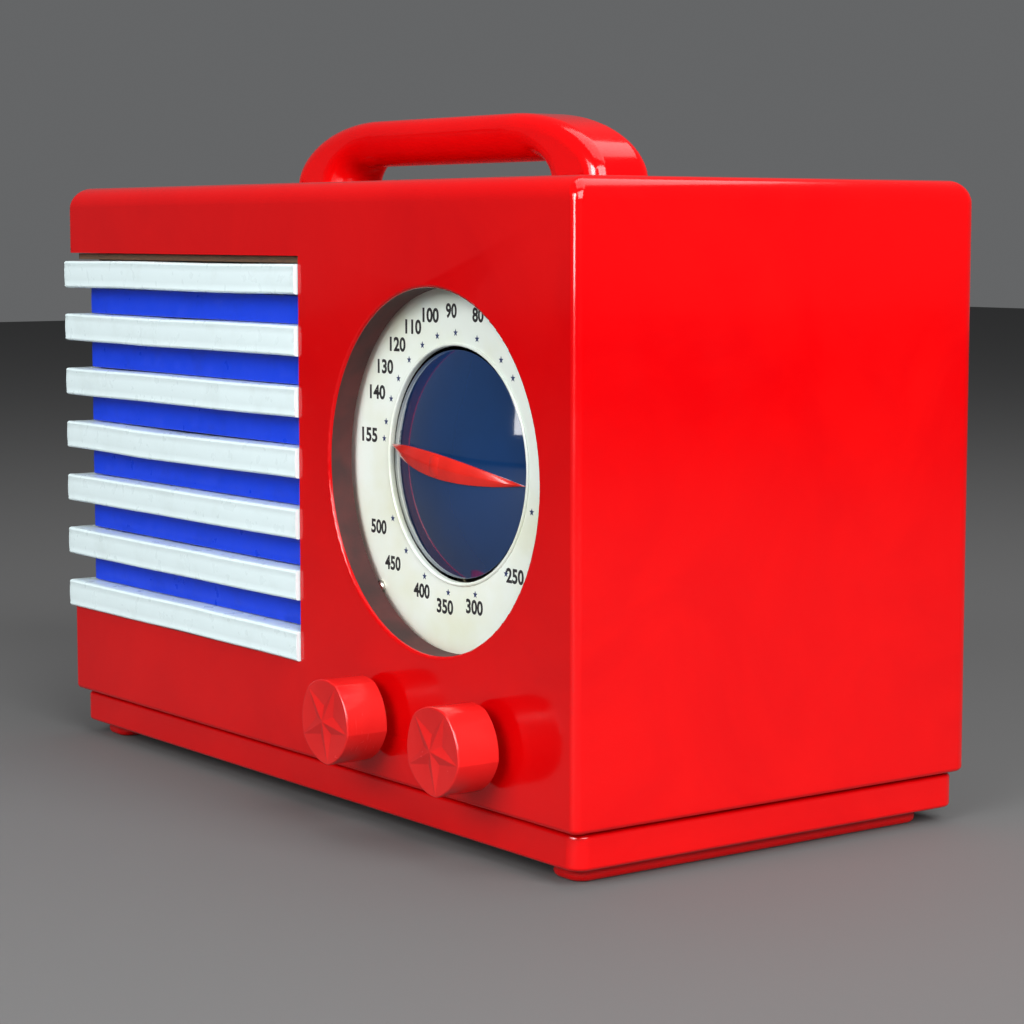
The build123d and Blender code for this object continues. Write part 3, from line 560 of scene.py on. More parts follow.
# ---- shapes of the pieces -------------------------------------------------------------------------------
def solids_of(node):
    """Boxes of a CAD node's separate solids, (lowest corner, highest corner), clockwise from the front."""
    work = bmesh.new()
    work.from_mesh(frame["nodes"][node].data)
    bmesh.ops.remove_doubles(work, verts=work.verts, dist=0.005 * MM)
    todo, found = set(work.verts), []
    while todo:
        island, edge = [], [todo.pop()]
        while edge:
            vertex = edge.pop()
            island.append(vertex.co)
            for link in vertex.link_edges:
                other = link.other_vert(vertex)
                if other in todo:
                    todo.remove(other)
                    edge.append(other)
        found.append((Vector(map(min, zip(*island))), Vector(map(max, zip(*island)))))
    work.free()
    middle = sum(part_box(node), Vector()) / 2

    def clockwise(box):
        place = (box[0] + box[1]) / 2 - middle
        return round(atan2(place.x, place.z), 3), round(place.x, 4), round(place.y, 4)

    return sorted(found, key=clockwise)


def wrap_path(depth, corner_r, end_x, end_y, step):
    """Points of the path round the cabinet's front left corner, a depth behind its faces."""
    left, front = LEFT_X + depth, FRONT_Y + depth
    radius = max(corner_r - depth, 0.4 * MM)
    count = max(2, int((end_x - left) / step))
    path = [Vector((end_x + (left + radius - end_x) * n / count, front, 0)) for n in range(count)]
    for n in range(9):
        a = radians(270 - 90 * n / 8)
        path.append(Vector((left + radius + radius * cos(a), front + radius + radius * sin(a), 0)))
    count = max(2, int((end_y - front) / step))
    path += [Vector((left, front + radius + (end_y - front - radius) * n / count, 0))
             for n in range(1, count + 1)]
    return path


def wrapped_bar(name, profile, corner_r, end_x, end_y, step=3 * MM):
    """Bar with a cross-section of (depth, height) points, swept round the corner."""
    rows = [wrap_path(depth, corner_r, end_x, end_y, step) for depth, _ in profile]
    length = min(len(row) for row in rows)
    work = bmesh.new()
    rings = []
    for n in range(length):
        ring = []
        for row, (_, height) in zip(rows, profile):
            place = row[round(n * (len(row) - 1) / (length - 1))]
            ring.append(work.verts.new((place.x, place.y, height)))
        rings.append(ring)
    skin(work, rings)
    work.faces.new(rings[0])
    work.faces.new(rings[-1])
    mesh = mesh_of(name, work)
    shade(mesh, 50)
    return mesh


def bar_profile(front, back, half, edge_r, crown):
    """Cross-section of a moulded bar: slightly crowned front, rounded front edges."""
    points = [(back, -half), (front + edge_r, -half)]
    points += [(front + edge_r - edge_r * sin(a), -half + edge_r - edge_r * cos(a))
               for a in (radians(15 * n) for n in range(1, 6))]
    inner = half - edge_r
    points += [(front + crown * (h / inner) ** 2 * 0.5, h) for h in (-inner, -inner / 2, 0, inner / 2, inner)]
    points += [(front + edge_r - edge_r * cos(a), half - edge_r + edge_r * sin(a))
               for a in (radians(15 * n) for n in range(1, 6))]
    return points + [(front + edge_r, half), (back, half)]


def slotted_screw(name, axis, head_r, head_h, shank_r, length):
    """Screw with a domed slotted head, its head's seat at the origin and its shank along an axis."""
    rise = head_h * 0.75
    dome = [(head_r * cos(radians(a)), -rise * sin(radians(a)) - head_h * 0.25) for a in range(0, 76, 15)]
    body = turned(name, Vector((0, 0, 0)), [(0, length)] + [(shank_r, length), (shank_r, 0), (head_r, 0)]
                  + dome + [(0, -head_h)], 28)
    cutter = new_object(name + "_slot", mesh_from(name + "_slot", [
        (x * head_r * 1.2, y, z * head_r * 0.16)
        for x in (-1, 1) for y in (-head_h * 1.2, -head_h * 0.45) for z in (-1, 1)],
        [(0, 1, 3, 2), (4, 6, 7, 5), (0, 4, 5, 1), (2, 3, 7, 6), (0, 2, 6, 4), (1, 5, 7, 3)]))
    obj = new_object(name, body)
    cut = obj.modifiers.new("slot", "BOOLEAN")
    cut.operation, cut.object, cut.solver = "DIFFERENCE", cutter, "EXACT"
    apply_modifiers(obj)
    mesh = obj.data
    bpy.data.objects.remove(cutter)
    bpy.data.objects.remove(obj)
    mesh.transform(Vector((0, 1, 0)).rotation_difference(Vector(axis)).to_matrix().to_4x4())
    shade(mesh, 30)
    return mesh


def screw_set(node, axis, seed):
    """Slotted screws in place of a node's plain ones; axis is the way their shanks point."""
    way = Vector(axis)
    boxes = solids_of(node)
    seats = []
    for low, high in boxes:
        middle, half = (low + high) / 2, (high - low) / 2
        seats.append(middle - way * abs(half.dot(way)))
    low, high = boxes[0]
    size = high - low
    length = abs(size.dot(way))
    across = max(abs(size.dot(side)) for side in (Vector((1, 0, 0)), Vector((0, 1, 0)), Vector((0, 0, 1)))
                 if abs(side.dot(way)) < 0.5)
    head_r = across / 2
    head_h = min(head_r * 0.75, length * 0.35)
    mesh = slotted_screw(node + "_pattern", axis, head_r, head_h, head_r * 0.5, length - head_h)
    points = [seat + way * head_h for seat in seats]
    spin = [FULL_TURN * abs(part) for part in axis]
    return keep(repeat(node + "_slotted", points, mesh, MATERIAL["screw"], spin, seed), node)


def star_outline(outer, inner):
    """Corner points of a five-pointed star in the XZ plane, its first point up."""
    reaches = [(outer, inner)[n % 2] for n in range(10)]
    return [(reach * cos(pi / 2 + pi * n / 5), 0, reach * sin(pi / 2 + pi * n / 5))
            for n, reach in enumerate(reaches)]


def flat_piece(name, outline, thickness):
    """Thin plate in the XZ plane from an outline, standing proud towards the front."""
    count = len(outline)
    points = [Vector(p) for p in outline] + [Vector(p) - Vector((0, thickness, 0)) for p in outline]
    faces = [tuple(range(count)), tuple(range(2 * count - 1, count - 1, -1))]
    faces += [(n, n + count, (n + 1) % count + count, (n + 1) % count) for n in range(count)]
    work = bmesh.new()
    corners = [work.verts.new(point) for point in points]
    for face in faces:
        work.faces.new([corners[n] for n in face])
    return mesh_of(name, work)


def text_mesh(body, height, width, middle, depth):
    """Text as a mesh facing the front, fitted to a height and a width and centred on a point."""
    curve = bpy.data.curves.new("label", "FONT")
    curve.body = body
    curve.size = 1.0
    curve.offset = 0.032
    curve.extrude = 0.5
    curve.resolution_u = 4
    obj = new_object("label", curve)
    mesh = bpy.data.meshes.new_from_object(obj.evaluated_get(bpy.context.evaluated_depsgraph_get()))
    bpy.data.objects.remove(obj)
    xs, ys = [v.co.x for v in mesh.vertices], [v.co.y for v in mesh.vertices]
    centre = Vector(((min(xs) + max(xs)) / 2, (min(ys) + max(ys)) / 2, 0))
    scale = Matrix.Diagonal((width / (max(xs) - min(xs)), height / (max(ys) - min(ys)), depth, 1))
    mesh.transform(Matrix.Translation(middle) @ Matrix.Rotation(pi / 2, 4, "X") @ scale
                   @ Matrix.Translation(-centre))
    return mesh


def cap_height(distance, dome_r, rise):
    """How far behind its apex a spherical cap lies at a distance from its axis."""
    ball = (dome_r ** 2 + rise ** 2) / (2 * rise)
    return ball - sqrt(ball ** 2 - distance ** 2)


def pointer_mesh(centre, apex_y, dome_r, rise, width, tilt, thick):
    """Double-ended pointer lying on the dome: two arcs and a soft ridge along the middle; its small boss is
    made apart.
    """
    half = dome_r - 0.2 * MM
    edge_r = (half ** 2 + (width / 2) ** 2) / width
    drop = edge_r - width / 2
    work = bmesh.new()
    columns, rows = 96, 12
    layers = []
    for top in (True, False):
        grid = []
        for i in range(columns + 1):
            u = -half + 2 * half * i / columns
            limit = max(sqrt(max(edge_r ** 2 - u ** 2, 0)) - drop, 0.02 * MM)
            line = []
            for j in range(rows + 1):
                share = -1 + 2 * j / rows
                v = share * limit
                x = u * cos(-tilt) - v * sin(-tilt)
                z = u * sin(-tilt) + v * cos(-tilt)
                distance = min(sqrt(x * x + z * z), dome_r)
                lift = thick * (0.45 + 0.4 * (1 - abs(share)) + 0.15 * (1 - share ** 4)) if top else 0.0
                y = apex_y + cap_height(distance, dome_r, rise) - lift
                line.append(work.verts.new((centre.x + x, y, centre.z + z)))
            grid.append(line)
        layers.append(grid)
    top, under = layers
    for grid in layers:
        for i in range(columns):
            for j in range(rows):
                work.faces.new([grid[i][j], grid[i + 1][j], grid[i + 1][j + 1], grid[i][j + 1]])
    for i in range(columns):
        for j in (0, rows):
            work.faces.new([top[i][j], top[i + 1][j], under[i + 1][j], under[i][j]])
    for j in range(rows):
        for i in (0, columns):
            work.faces.new([top[i][j], top[i][j + 1], under[i][j + 1], under[i][j]])
    return mesh_of("pointer", work)


def ridged(start, end, count, depth):
    """Points of a straight profile line with regular ripples across it."""
    (r0, y0), (r1, y1) = start, end
    return [(r0 + (r1 - r0) * n / (8 * count), y0 + (y1 - y0) * n / (8 * count)
             + depth * sin(2 * pi * n / 8)) for n in range(8 * count + 1)]


# ---- pieces ---------------------------------------------------------------------------------------------
def build_cabinet(look):
    """The castings as they are, with the wall of the dial's opening painted dark brown and rough, the brown as
    painted shade.
    """
    cabinet = merged_copy("cabinet", "cabinet_casting", MATERIAL["cabinet"], crease=32)
    cabinet.data.materials.append(MATERIAL["opening_wall_shade"])
    # faces of the dial opening's wall take the dark brown painted shade
    for polygon in cabinet.data.polygons:
        place = polygon.center
        reach = Vector((place.x - DIAL_AXIS.x, place.z - look.opening_z)).length
        if reach < look.opening_r + WALL_REACH and place.y > FRONT_Y + 1.2 * MM:
            polygon.material_index = 1
    merged_copy("handle", "handle_casting", MATERIAL["cabinet"], crease=32)


def level_with(nodes):
    """Points on the Z axis, level with the middles of these nodes."""
    return [(0, 0, sum((corner.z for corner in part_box(node)), 0.0) / 2) for node in nodes]


def build_grille(look):
    size_low, size_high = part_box("grille_bar_1")
    half = (size_high.z - size_low.z) / 2
    end_x, end_y = size_high.x, size_high.y
    proud = LEFT_X - size_low.x
    profile = bar_profile(-proud, BAR_BACK, half, 1.0 * MM, 0.3 * MM)
    bar = wrapped_bar("bar", profile, -0.2 * MM, end_x - 0.3 * MM, end_y - 0.3 * MM)
    warp = (look.warp_in * 0.5, look.warp_in * 0.5, look.warp_up * 2)
    keep(repeat("grille_bars", level_with(BARS), bar, MATERIAL["white"], seed=4, warp=warp,
                wave=0.085), *BARS)
    low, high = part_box("grille_slat_1")
    half = (high.z - low.z) / 2
    profile = bar_profile(5.4 * MM, BAR_BACK, half, 0.5 * MM, 0.15 * MM)
    slat = wrapped_bar("slat", profile, 6.4 * MM, high.x - 0.2 * MM, high.y - 0.2 * MM)
    keep(repeat("grille_slats", level_with(SLATS), slat, MATERIAL["blue"], seed=9,
                warp=(0, 0, 0.2 * MM), wave=0.1), *SLATS)
    low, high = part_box("grille_cloth")
    middle, half = (low.z + high.z) / 2, (high.z - low.z) / 2
    lines = [middle - half + 2 * half * n / 24 for n in range(25)]
    front, back = CLOTH_DEPTH
    cloth = wrapped_bar("cloth", [(front, z) for z in lines] + [(back, z) for z in reversed(lines)],
                        13.2 * MM, high.x, high.y)
    piece = keep(new_object("grille_cloth_woven", cloth, MATERIAL["cloth"]), "grille_cloth")
    dress("grille_frame", MATERIAL["board"])
    dress("speaker_baffle", MATERIAL["board"])


def build_dial(look):
    low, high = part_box("dial_face")
    centre = Vector((DIAL_AXIS.x, 0, DIAL_AXIS.z))
    outer, inner = (high.x - low.x) / 2, 33.0 * MM
    front, back = low.y, high.y
    lip = [(inner + 1.1 * MM, front)] + arc((inner + 0.6 * MM, front), 0.55 * MM, 0, -180, 10)[1:]
    face = [(r * MM, front + drop * MM) for r, drop in ((36, 0), (48.5, 0), (50, 0.03), (52, 0.15), (54, 0.4))]
    profile = lip[::-1] + face + [(outer, front + 0.9 * MM), (outer, back), (inner + 0.05 * MM, back)]
    finished("dial_ring_enamelled", turned("dial_ring", centre, profile, 160), "dial", 30, "dial_face")
    star = flat_piece("star", star_outline(look.star_r, look.star_r * 0.42), 0.04 * MM)
    spots = [around(centre, look.star_ring, radians(mark[1]), front) for mark in DIAL_MARKS]
    keep(repeat("dial_stars", spots, star, MATERIAL["navy_ink"]), body="root")
    labels = []
    for label, _, radius, angle in filter(lambda mark: mark[0], DIAL_MARKS):
        width = look.digit_width * len(label) - 0.35 * MM
        place = around(centre, radius * MM, radians(angle), front - 0.01 * MM)
        labels.append(text_mesh(label, look.digit_height, width, place, 0.03 * MM))
    keep(new_object("dial_numbers", joined("dial_numbers", labels), MATERIAL["ink"]), body="root")
    dress("dial_bracket", MATERIAL["steel"])


def build_dome(look):
    low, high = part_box("dial_dome")
    centre = Vector((DIAL_AXIS.x, 0, DIAL_AXIS.z))
    dome_r = (high.x - low.x) / 2
    steps = [dome_r * sin(radians(n * 3)) for n in range(30)]
    outside = [(r, low.y + cap_height(r, dome_r, DOME_RISE)) for r in steps]
    outside += arc((dome_r - 0.3 * MM, low.y + DOME_RISE + 0.25 * MM), 0.3 * MM, -20, 90, 5)
    inside = [(r * (dome_r - 1.2 * MM) / dome_r, low.y + cap_height(r, dome_r, DOME_RISE) + 1.1 * MM)
              for r in reversed(steps)]
    finished("dome_enamelled", turned("dome", centre, outside + inside, 160), "dome", 60, "dial_dome")
    mesh = pointer_mesh(centre, low.y, dome_r, DOME_RISE, 6.8 * MM, radians(6.7), 1.15 * MM)
    top = low.y - 1.0 * MM
    boss = turned("boss", centre, [
        (0, low.y + 0.3 * MM), (3.4 * MM, low.y + 0.3 * MM), (3.0 * MM, low.y - 0.75 * MM),
        (2.0 * MM, top - 0.15 * MM), (1.0 * MM, top - 0.32 * MM), (0, top - 0.38 * MM)], 48)
    finished("pointer_enamelled", joined("pointer", [mesh, boss]), "pointer", 40, "dial_pointer")


def knob_mesh(name, centre, low_y, high_y, look):
    """Five-sided knob with bowed sides; its face is a star whose ridges meet in the middle."""
    radius, rim = look.knob_r, low_y + 0.9 * MM
    edge = look.knob_edge
    count = 18

    def ring(shrink, y):
        points = []
        for n in range(5 * count):
            across = 2 * (n % count) / count - 1
            reach = radius - shrink - look.knob_flat * (1 - across ** 2)
            angle = look.knob_turn + 2 * pi * n / (5 * count)
            points.append(work.verts.new(around(centre, reach, angle, y)))
        return points

    work = bmesh.new()
    rows = [ring(edge, high_y), ring(0, high_y - edge), ring(0, rim + edge), ring(edge * 0.3, rim + edge * 0.3),
            ring(edge, rim)]
    skin(work, rows)
    work.faces.new(rows[0])
    apex = work.verts.new((centre.x, low_y + 0.15 * MM, centre.z))
    angles = [look.knob_turn + 2 * pi * (k + 0.5) / 5 for k in range(5)]
    notches = [work.verts.new(around(centre, radius * 0.36, angle, rim + 0.45 * MM)) for angle in angles]
    face = rows[-1]
    for k in range(5):
        for n in range(count):
            work.faces.new([face[k * count + n], face[(k * count + n + 1) % (5 * count)], notches[k]])
        work.faces.new([face[k * count], notches[k], apex])
        work.faces.new([face[k * count], apex, notches[k - 1]])
    return mesh_of(name, work)


def build_knobs(look):
    for node, axis in (("tuning_knob", TUNING_AXIS), ("volume_knob", VOLUME_AXIS)):
        low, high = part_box(node)
        mesh = knob_mesh(node, axis, low.y, high.y, look)
        piece = new_object(node + "_moulded", mesh, MATERIAL["knob"])
        keep(finish_mesh(piece, 0.14, 9), node)
    for node in ("tuning_shaft", "volume_shaft", "rotor_shaft"):
        dress(node, MATERIAL["brass"])
    dress("tuning_bushing", MATERIAL["brass"])
    dress("volume_control", MATERIAL["steel"])


def build_screws(look):
    for node, axis, seed in (("handle_screws", (0, 0, 1), 3), ("dial_screws", (0, 1, 0), 5),
                             ("speaker_screws", (0, -1, 0), 7), ("chassis_screws", (0, 0, 1), 11),
                             ("back_cover_screws", (0, -1, 0), 13)):
        screw_set(node, axis, seed)


def disc(radius, bottom, top):
    """Profile of a solid disc or rod."""
    return [(0, bottom), (radius, bottom), (radius, top), (0, top)]


def build_tube(node):
    """Tube with its moulded base, clear envelope, micas, anode, supports and getter."""
    low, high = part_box(node)
    centre = (low + high) / 2
    foot, top = low.z, high.z
    waist = foot + 14 * MM
    base = turned_upright("base", centre, [
        (0, foot), (14.9 * MM, foot), (15.4 * MM, foot + 0.5 * MM), (15.4 * MM, foot + 3 * MM),
        (14.9 * MM, foot + 3.6 * MM), (14.4 * MM, waist - 0.6 * MM), (13.9 * MM, waist), (0, waist)])

    def shell(radius, bottom, peak, corner):
        bend = [(radius - corner + corner * cos(radians(a)), peak - corner + corner * sin(radians(a)))
                for a in range(0, 91, 9)]
        return [(radius, bottom)] + bend + [(0, peak)]

    outside = shell(13.8 * MM, waist - 1 * MM, top, 9 * MM)
    inside = shell(13.0 * MM, waist - 1 * MM, top - 0.8 * MM, 8.2 * MM)
    glass = turned_upright("glass", centre, outside + inside[::-1])
    flash_out = shell(12.85 * MM, top - 12 * MM, top - 0.95 * MM, 8.05 * MM)
    flash_in = [(max(r - 0.2 * MM, 0), z - 0.2 * MM) for r, z in flash_out]
    getter = turned_upright("getter", centre, flash_out + flash_in[::-1])
    plate_low, plate_high = waist + 8 * MM, top - 15 * MM
    plate = turned_upright("plate", centre, [
        (7.5 * MM, plate_low), (7.5 * MM, plate_high), (7.1 * MM, plate_high), (7.1 * MM, plate_low)], 32)
    plate.transform(Matrix.Translation(centre) @ Matrix.Diagonal((1, 0.6, 1, 1)) @ Matrix.Translation(-centre))
    micas = [turned_upright("mica", centre, disc(11.5 * MM, z, z + 0.4 * MM), 36)
             for z in (plate_low - 1 * MM, plate_high + 0.5 * MM)]
    rods = [turned_upright("rod", centre + Vector((dx * MM, 0, 0)),
                           disc(0.5 * MM, waist, plate_high + 3 * MM), 12) for dx in (-6, 0, 6)]
    names = ["tube_base", "glass", "getter", "tube_plate"] + ["mica"] * 2 + ["steel"] * 3
    mesh = joined(node, [base, glass, getter, plate] + micas + rods, own_slots=True)
    piece = new_object(node + "_glazed", mesh, *[MATERIAL[name] for name in names])
    shade(piece.data, 35)
    keep(piece, node)


def build_tubes(look):
    for node in TUBES:
        build_tube(node)
    dress("tube_sockets", MATERIAL["socket"])


def build_speaker(look):
    low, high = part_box("speaker_cone")
    centre = (low + high) / 2
    rim, front = (high.x - low.x) / 2, low.y
    seam = 0.8 * MM
    flare = ridged((rim - seam, front), (9.4 * MM, front + 14 * MM), 6, 0.12 * MM)
    dust_cap = [(r * MM, front + y * MM) for r, y in ((8.2, 13.4), (6, 12.9), (3, 12.5), (0, 12.4))]
    face = [(rim, front)] + flare + dust_cap
    behind = [(r, y + 0.7 * MM) for r, y in reversed(face)]
    finished("speaker_cone_ribbed", turned("cone", centre, face + behind), "paper", 40, "speaker_cone")
    low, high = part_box("cone_surround")
    outer, inner = (high.x - low.x) / 2, rim + 0.3 * MM
    rolls = ridged((outer - 4 * MM, low.y + 0.4 * MM), (inner, low.y + 0.4 * MM), 3, 0.3 * MM)
    top = [(outer, low.y)] + rolls
    rolled = turned("surround", centre, top + [(r, y + 0.35 * MM) for r, y in reversed(top)])
    finished("cone_surround_rolled", rolled, "paper", 40, "cone_surround")
    dress("speaker_basket", MATERIAL["steel"])
    dress("speaker_magnet", MATERIAL["iron"])
    dress("voice_coil", MATERIAL["copper"])


def build_chassis(look):
    for node, name in (("chassis", "steel"), ("gang_frame", "steel"), ("gang_stators", "aluminium"),
                       ("rotor_plates", "aluminium"), ("cord_drum", "socket"), ("dial_cord", "cord"),
                       ("output_transformer", "iron"), ("paper_capacitors", "wax"), ("resistors", "resistor")):
        dress(node, MATERIAL[name])
    for node in ("first_if_can", "second_if_can", "filter_capacitor"):
        merged_copy(node, node + "_drawn", MATERIAL["aluminium"], crease=25)


def build_back(look):
    merged_copy("back_cover", "back_cover_pressed", MATERIAL["board"], crease=25)
    low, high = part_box("cord_grommet")
    centre = (low + high) / 2
    outer, bore = (high.x - low.x) / 2, 3.5 * MM
    neck, lip = 6 * MM, 1.9 * MM
    profile = [(bore, low.y + 0.5 * MM)] + arc((bore + 0.5 * MM, low.y + 0.5 * MM), 0.5 * MM, 180, 270, 4)[1:]
    profile += arc((outer - 0.9 * MM, low.y + 0.9 * MM), 0.9 * MM, -90, 80, 8)
    profile += [(outer - 0.2 * MM, low.y + lip), (neck, low.y + lip), (neck, high.y - lip),
                (outer - 0.2 * MM, high.y - lip)]
    profile += arc((outer - 0.9 * MM, high.y - 0.9 * MM), 0.9 * MM, -80, 90, 8)
    profile += arc((bore + 0.5 * MM, high.y - 0.5 * MM), 0.5 * MM, 90, 180, 4)
    finished("cord_grommet_moulded", turned("grommet", centre, profile, 64), "rubber", 40, "cord_grommet")
    low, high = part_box("loop_antenna")
    centre = (low + high) / 2
    turns, steps, points = 13, 64, []
    for n in range(turns * steps):
        shrink = 0.6 * MM + 16 * MM * n / (turns * steps)
        half_x, half_z = (high.x - low.x) / 2 - shrink, (high.z - low.z) / 2 - shrink
        corner = max(20 * MM - shrink * 0.6, 4 * MM)
        a = 2 * pi * n / steps
        edge = Vector((cos(a), 0, sin(a)))
        quarter = Vector((1 if edge.x >= 0 else -1, 0, 1 if edge.z >= 0 else -1))
        points.append(Vector((centre.x + quarter.x * (half_x - corner) + edge.x * corner, low.y + 0.55 * MM,
                              centre.z + quarter.z * (half_z - corner) + edge.z * corner)))
    keep(wire("loop_antenna_turns", points, 0.5 * MM, MATERIAL["cotton"]), "loop_antenna")


# ---- stage ----------------------------------------------------------------------------------------------
def area_light(name, place, target, size, power):
    light = bpy.data.lights.new(name, "AREA")
    light.shape = "RECTANGLE"
    light.size, light.size_y = size
    light.energy = power
    obj = bpy.data.objects.new(name, light)
    bpy.context.scene.collection.objects.link(obj)
    obj.location = place
    obj.rotation_euler = (Vector(target) - Vector(place)).to_track_quat("-Z", "Y").to_euler()
    return obj


def build_stage(stage):
    floor = mesh_from("floor", [(x, y, 0) for x, y in ((-4, -4), (4, -4), (4, 4), (-4, 4))], [(0, 1, 2, 3)])
    paper = new_material("backdrop_paper", {"Base Color": linear("#555555"), "Roughness": 0.85})[0]
    new_object("floor", floor, paper)
    world = bpy.data.worlds.new("studio")
    bpy.context.scene.world = world
    world.use_nodes = True
    background = world.node_tree.nodes["Background"]
    background.inputs["Color"].default_value = linear("#D2D4D6")
    background.inputs["Strength"].default_value = stage.ambient
    middle = (0.02, 0, 0.1)
    lights = [
        area_light("key", (1.15, -0.15, 0.75), middle, (1.0, 0.8), stage.key),
        area_light("front_fill", (0.45, -1.6, 0.85), middle, (1.4, 0.9), stage.fill),
        area_light("camera_side", (0.35, -0.75, 0.42), middle, (0.3, 0.6), stage.glint),
        area_light("top", (0.1, 0.25, 1.3), middle, (1.2, 1.2), stage.top),
    ]
    lights[2].visible_diffuse = False    # seen in reflections only
    camera = bpy.data.cameras.new("camera")
    camera.lens = stage.lens
    camera.sensor_width = 36.0
    camera.clip_start = 0.01
    camera.dof.use_dof = False
    view = bpy.data.objects.new("camera", camera)
    bpy.context.scene.collection.objects.link(view)
    view.location = stage.camera_place
    yaw, pitch = stage.camera_yaw, stage.camera_pitch
    ahead = Vector((-sin(yaw) * cos(pitch), cos(yaw) * cos(pitch), -sin(pitch)))
    view.rotation_euler = ahead.to_track_quat("-Z", "Y").to_euler()
    bpy.context.scene.camera = view
    bpy.context.scene.view_settings.view_transform = "Standard"


# ---- settings -------------------------------------------------------------------------------------------
def number(name, description, default, **limits):
    return bpy.props.FloatProperty(name=name, description=description, default=default, **limits)


def length(name, description, default):
    return number(name, description, default, min=0, unit="LENGTH", precision=5)


def colour(name, description, code):
    return bpy.props.FloatVectorProperty(name=name, description=description, default=linear(code)[:3], min=0,
                                         max=1, size=3, subtype="COLOR")


class RADIO_PG_look(bpy.types.PropertyGroup):
    """Sizes and colours of the radio's pieces."""
    deep_red: colour("Deep red", "Darker tone of the cabinet's casting", "#C20004")
    bright_red: colour("Bright red", "Lighter tone of the cabinet's casting", "#CC0305")
    warp_in: length("Bow inwards", "How far the bars bow towards the cabinet", 0.0006)
    warp_up: length("Bow up and down", "How far the bars wander in height", 0.0007)
    opening_r: length("Opening radius", "Radius of the dial's opening", 0.0511)
    opening_z: length("Opening height", "Height of the dial opening's centre", 0.1054)
    star_r: length("Star radius", "Outer radius of the printed stars", 0.0011)
    star_ring: length("Star ring", "Distance of the stars from the dial's axis", 0.0367)
    digit_width: length("Digit width", "Width of one printed digit with its gap", 0.0028)
    digit_height: length("Digit height", "Height of the printed digits", 0.0042)
    knob_r: length("Knob radius", "From the knob's axis to the points of its star", 0.0125)
    knob_flat: length("Knob flats", "How far the middles of the five sides lie inside the radius", 0.0005)
    knob_edge: length("Knob edge", "Rounding of the knobs' rims", 0.0004)
    knob_turn: number("Knob turn", "Angle of the star's first point", radians(277), unit="ROTATION")


class RADIO_PG_stage(bpy.types.PropertyGroup):
    """Lights and camera."""
    key: number("Key", "Power of the side light", 28.0, min=0, unit="POWER")
    fill: number("Fill", "Power of the front light", 29.0, min=0, unit="POWER")
    glint: number("Glint", "Power of the panel seen only in reflections", 13.0, min=0, unit="POWER")
    top: number("Top", "Power of the overhead light", 10.0, min=0, unit="POWER")
    ambient: number("Ambient", "Strength of the even light", 0.2, min=0)
    lens: number("Lens", "Focal length in millimetres", 92.84, min=10)
    camera_place: bpy.props.FloatVectorProperty(name="Camera", description="Where the camera stands",
                                                default=(0.67591, -0.47496, 0.17167), subtype="TRANSLATION")
    camera_yaw: number("Yaw", "Turn of the camera to the left", radians(53.758), unit="ROTATION")
    camera_pitch: number("Pitch", "Tilt of the camera downwards", radians(6.0507), unit="ROTATION")


# ---- operators ------------------------------------------------------------------------------------------
class RadioStep:
    """Shared by the steps: each calls one builder with the look's settings."""
    bl_options = {"REGISTER"}
    build = None

    def execute(self, context):
        try:
            type(self).build(context.scene.radio_look)
        except Exception as problem:
            raise RuntimeError(f"{self.bl_label}: {problem}") from problem
        return {"FINISHED"}


class RADIO_OT_finishes(RadioStep, bpy.types.Operator):
    """Make every finish."""
    bl_idname = "radio.finishes"
    bl_label = "Finishes"
    build = staticmethod(make_materials)


class RADIO_OT_cabinet(RadioStep, bpy.types.Operator):
    """Cast cabinet and handle."""
    bl_idname = "radio.cabinet"
    bl_label = "Cabinet"
    build = staticmethod(build_cabinet)


class RADIO_OT_grille(RadioStep, bpy.types.Operator):
    """White bars, blue slats, cloth and boards of the grille."""
    bl_idname = "radio.grille"
    bl_label = "Grille"
    build = staticmethod(build_grille)


class RADIO_OT_dial(RadioStep, bpy.types.Operator):
    """Enamelled dial ring with its printed scale."""
    bl_idname = "radio.dial"
    bl_label = "Dial"
    build = staticmethod(build_dial)


class RADIO_OT_dome(RadioStep, bpy.types.Operator):
    """Turning blue dome with its pointer."""
    bl_idname = "radio.dome"
    bl_label = "Dome"
    build = staticmethod(build_dome)


class RADIO_OT_knobs(RadioStep, bpy.types.Operator):
    """Star knobs and shafts."""
    bl_idname = "radio.knobs"
    bl_label = "Knobs"
    build = staticmethod(build_knobs)


class RADIO_OT_screws(RadioStep, bpy.types.Operator):
    """Slotted screws."""
    bl_idname = "radio.screws"
    bl_label = "Screws"
    build = staticmethod(build_screws)


class RADIO_OT_tubes(RadioStep, bpy.types.Operator):
    """Five glass tubes."""
    bl_idname = "radio.tubes"
    bl_label = "Tubes"
    build = staticmethod(build_tubes)


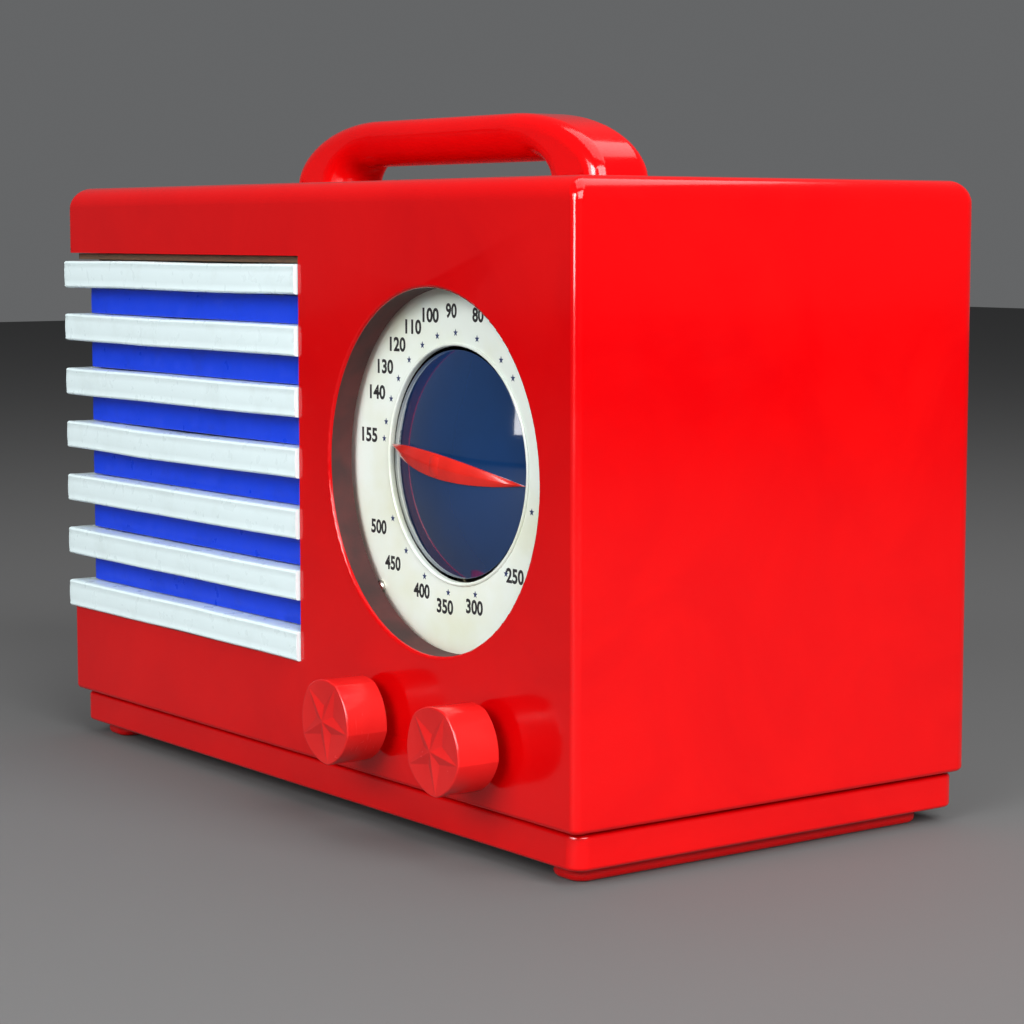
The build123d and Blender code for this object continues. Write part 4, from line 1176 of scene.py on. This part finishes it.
class RADIO_OT_speaker(RadioStep, bpy.types.Operator):
    """Cone, surround and basket of the loudspeaker."""
    bl_idname = "radio.speaker"
    bl_label = "Loudspeaker"
    build = staticmethod(build_speaker)


class RADIO_OT_chassis(RadioStep, bpy.types.Operator):
    """Chassis, cans and small parts."""
    bl_idname = "radio.chassis"
    bl_label = "Chassis"
    build = staticmethod(build_chassis)


class RADIO_OT_back(RadioStep, bpy.types.Operator):
    """Back cover, grommet and loop antenna."""
    bl_idname = "radio.back"
    bl_label = "Back"
    build = staticmethod(build_back)


class RADIO_OT_stage(bpy.types.Operator):
    """Floor, lights and camera."""
    bl_idname = "radio.stage"
    bl_label = "Stage"

    def execute(self, context):
        build_stage(context.scene.radio_stage)
        return {"FINISHED"}


class RADIO_PT_panel(bpy.types.Panel):
    """Sidebar panel with the steps and their settings."""
    bl_idname = "RADIO_PT_panel"
    bl_label = "Radio"
    bl_space_type = "VIEW_3D"
    bl_region_type = "UI"
    bl_category = "Radio"

    def draw(self, context):
        for step in STEPS:
            self.layout.operator(step.bl_idname)
        for settings in (context.scene.radio_look, context.scene.radio_stage):
            box = self.layout.box()
            for name in settings.__annotations__:
                box.prop(settings, name)


STEPS = (RADIO_OT_finishes, RADIO_OT_cabinet, RADIO_OT_grille, RADIO_OT_dial, RADIO_OT_dome, RADIO_OT_knobs,
         RADIO_OT_screws, RADIO_OT_tubes, RADIO_OT_speaker, RADIO_OT_chassis, RADIO_OT_back, RADIO_OT_stage)
CLASSES = (RADIO_PG_look, RADIO_PG_stage, *STEPS, RADIO_PT_panel)


def register():
    for item in CLASSES:
        bpy.utils.register_class(item)
    bpy.types.Scene.radio_look = bpy.props.PointerProperty(type=RADIO_PG_look)
    bpy.types.Scene.radio_stage = bpy.props.PointerProperty(type=RADIO_PG_stage)


def unregister():
    del bpy.types.Scene.radio_look
    del bpy.types.Scene.radio_stage
    for item in reversed(CLASSES):
        bpy.utils.unregister_class(item)


def main():
    register()
    for step in STEPS:
        group, name = step.bl_idname.split(".")
        getattr(getattr(bpy.ops, group), name)()
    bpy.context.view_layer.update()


if __name__ == "__main__":
    main()
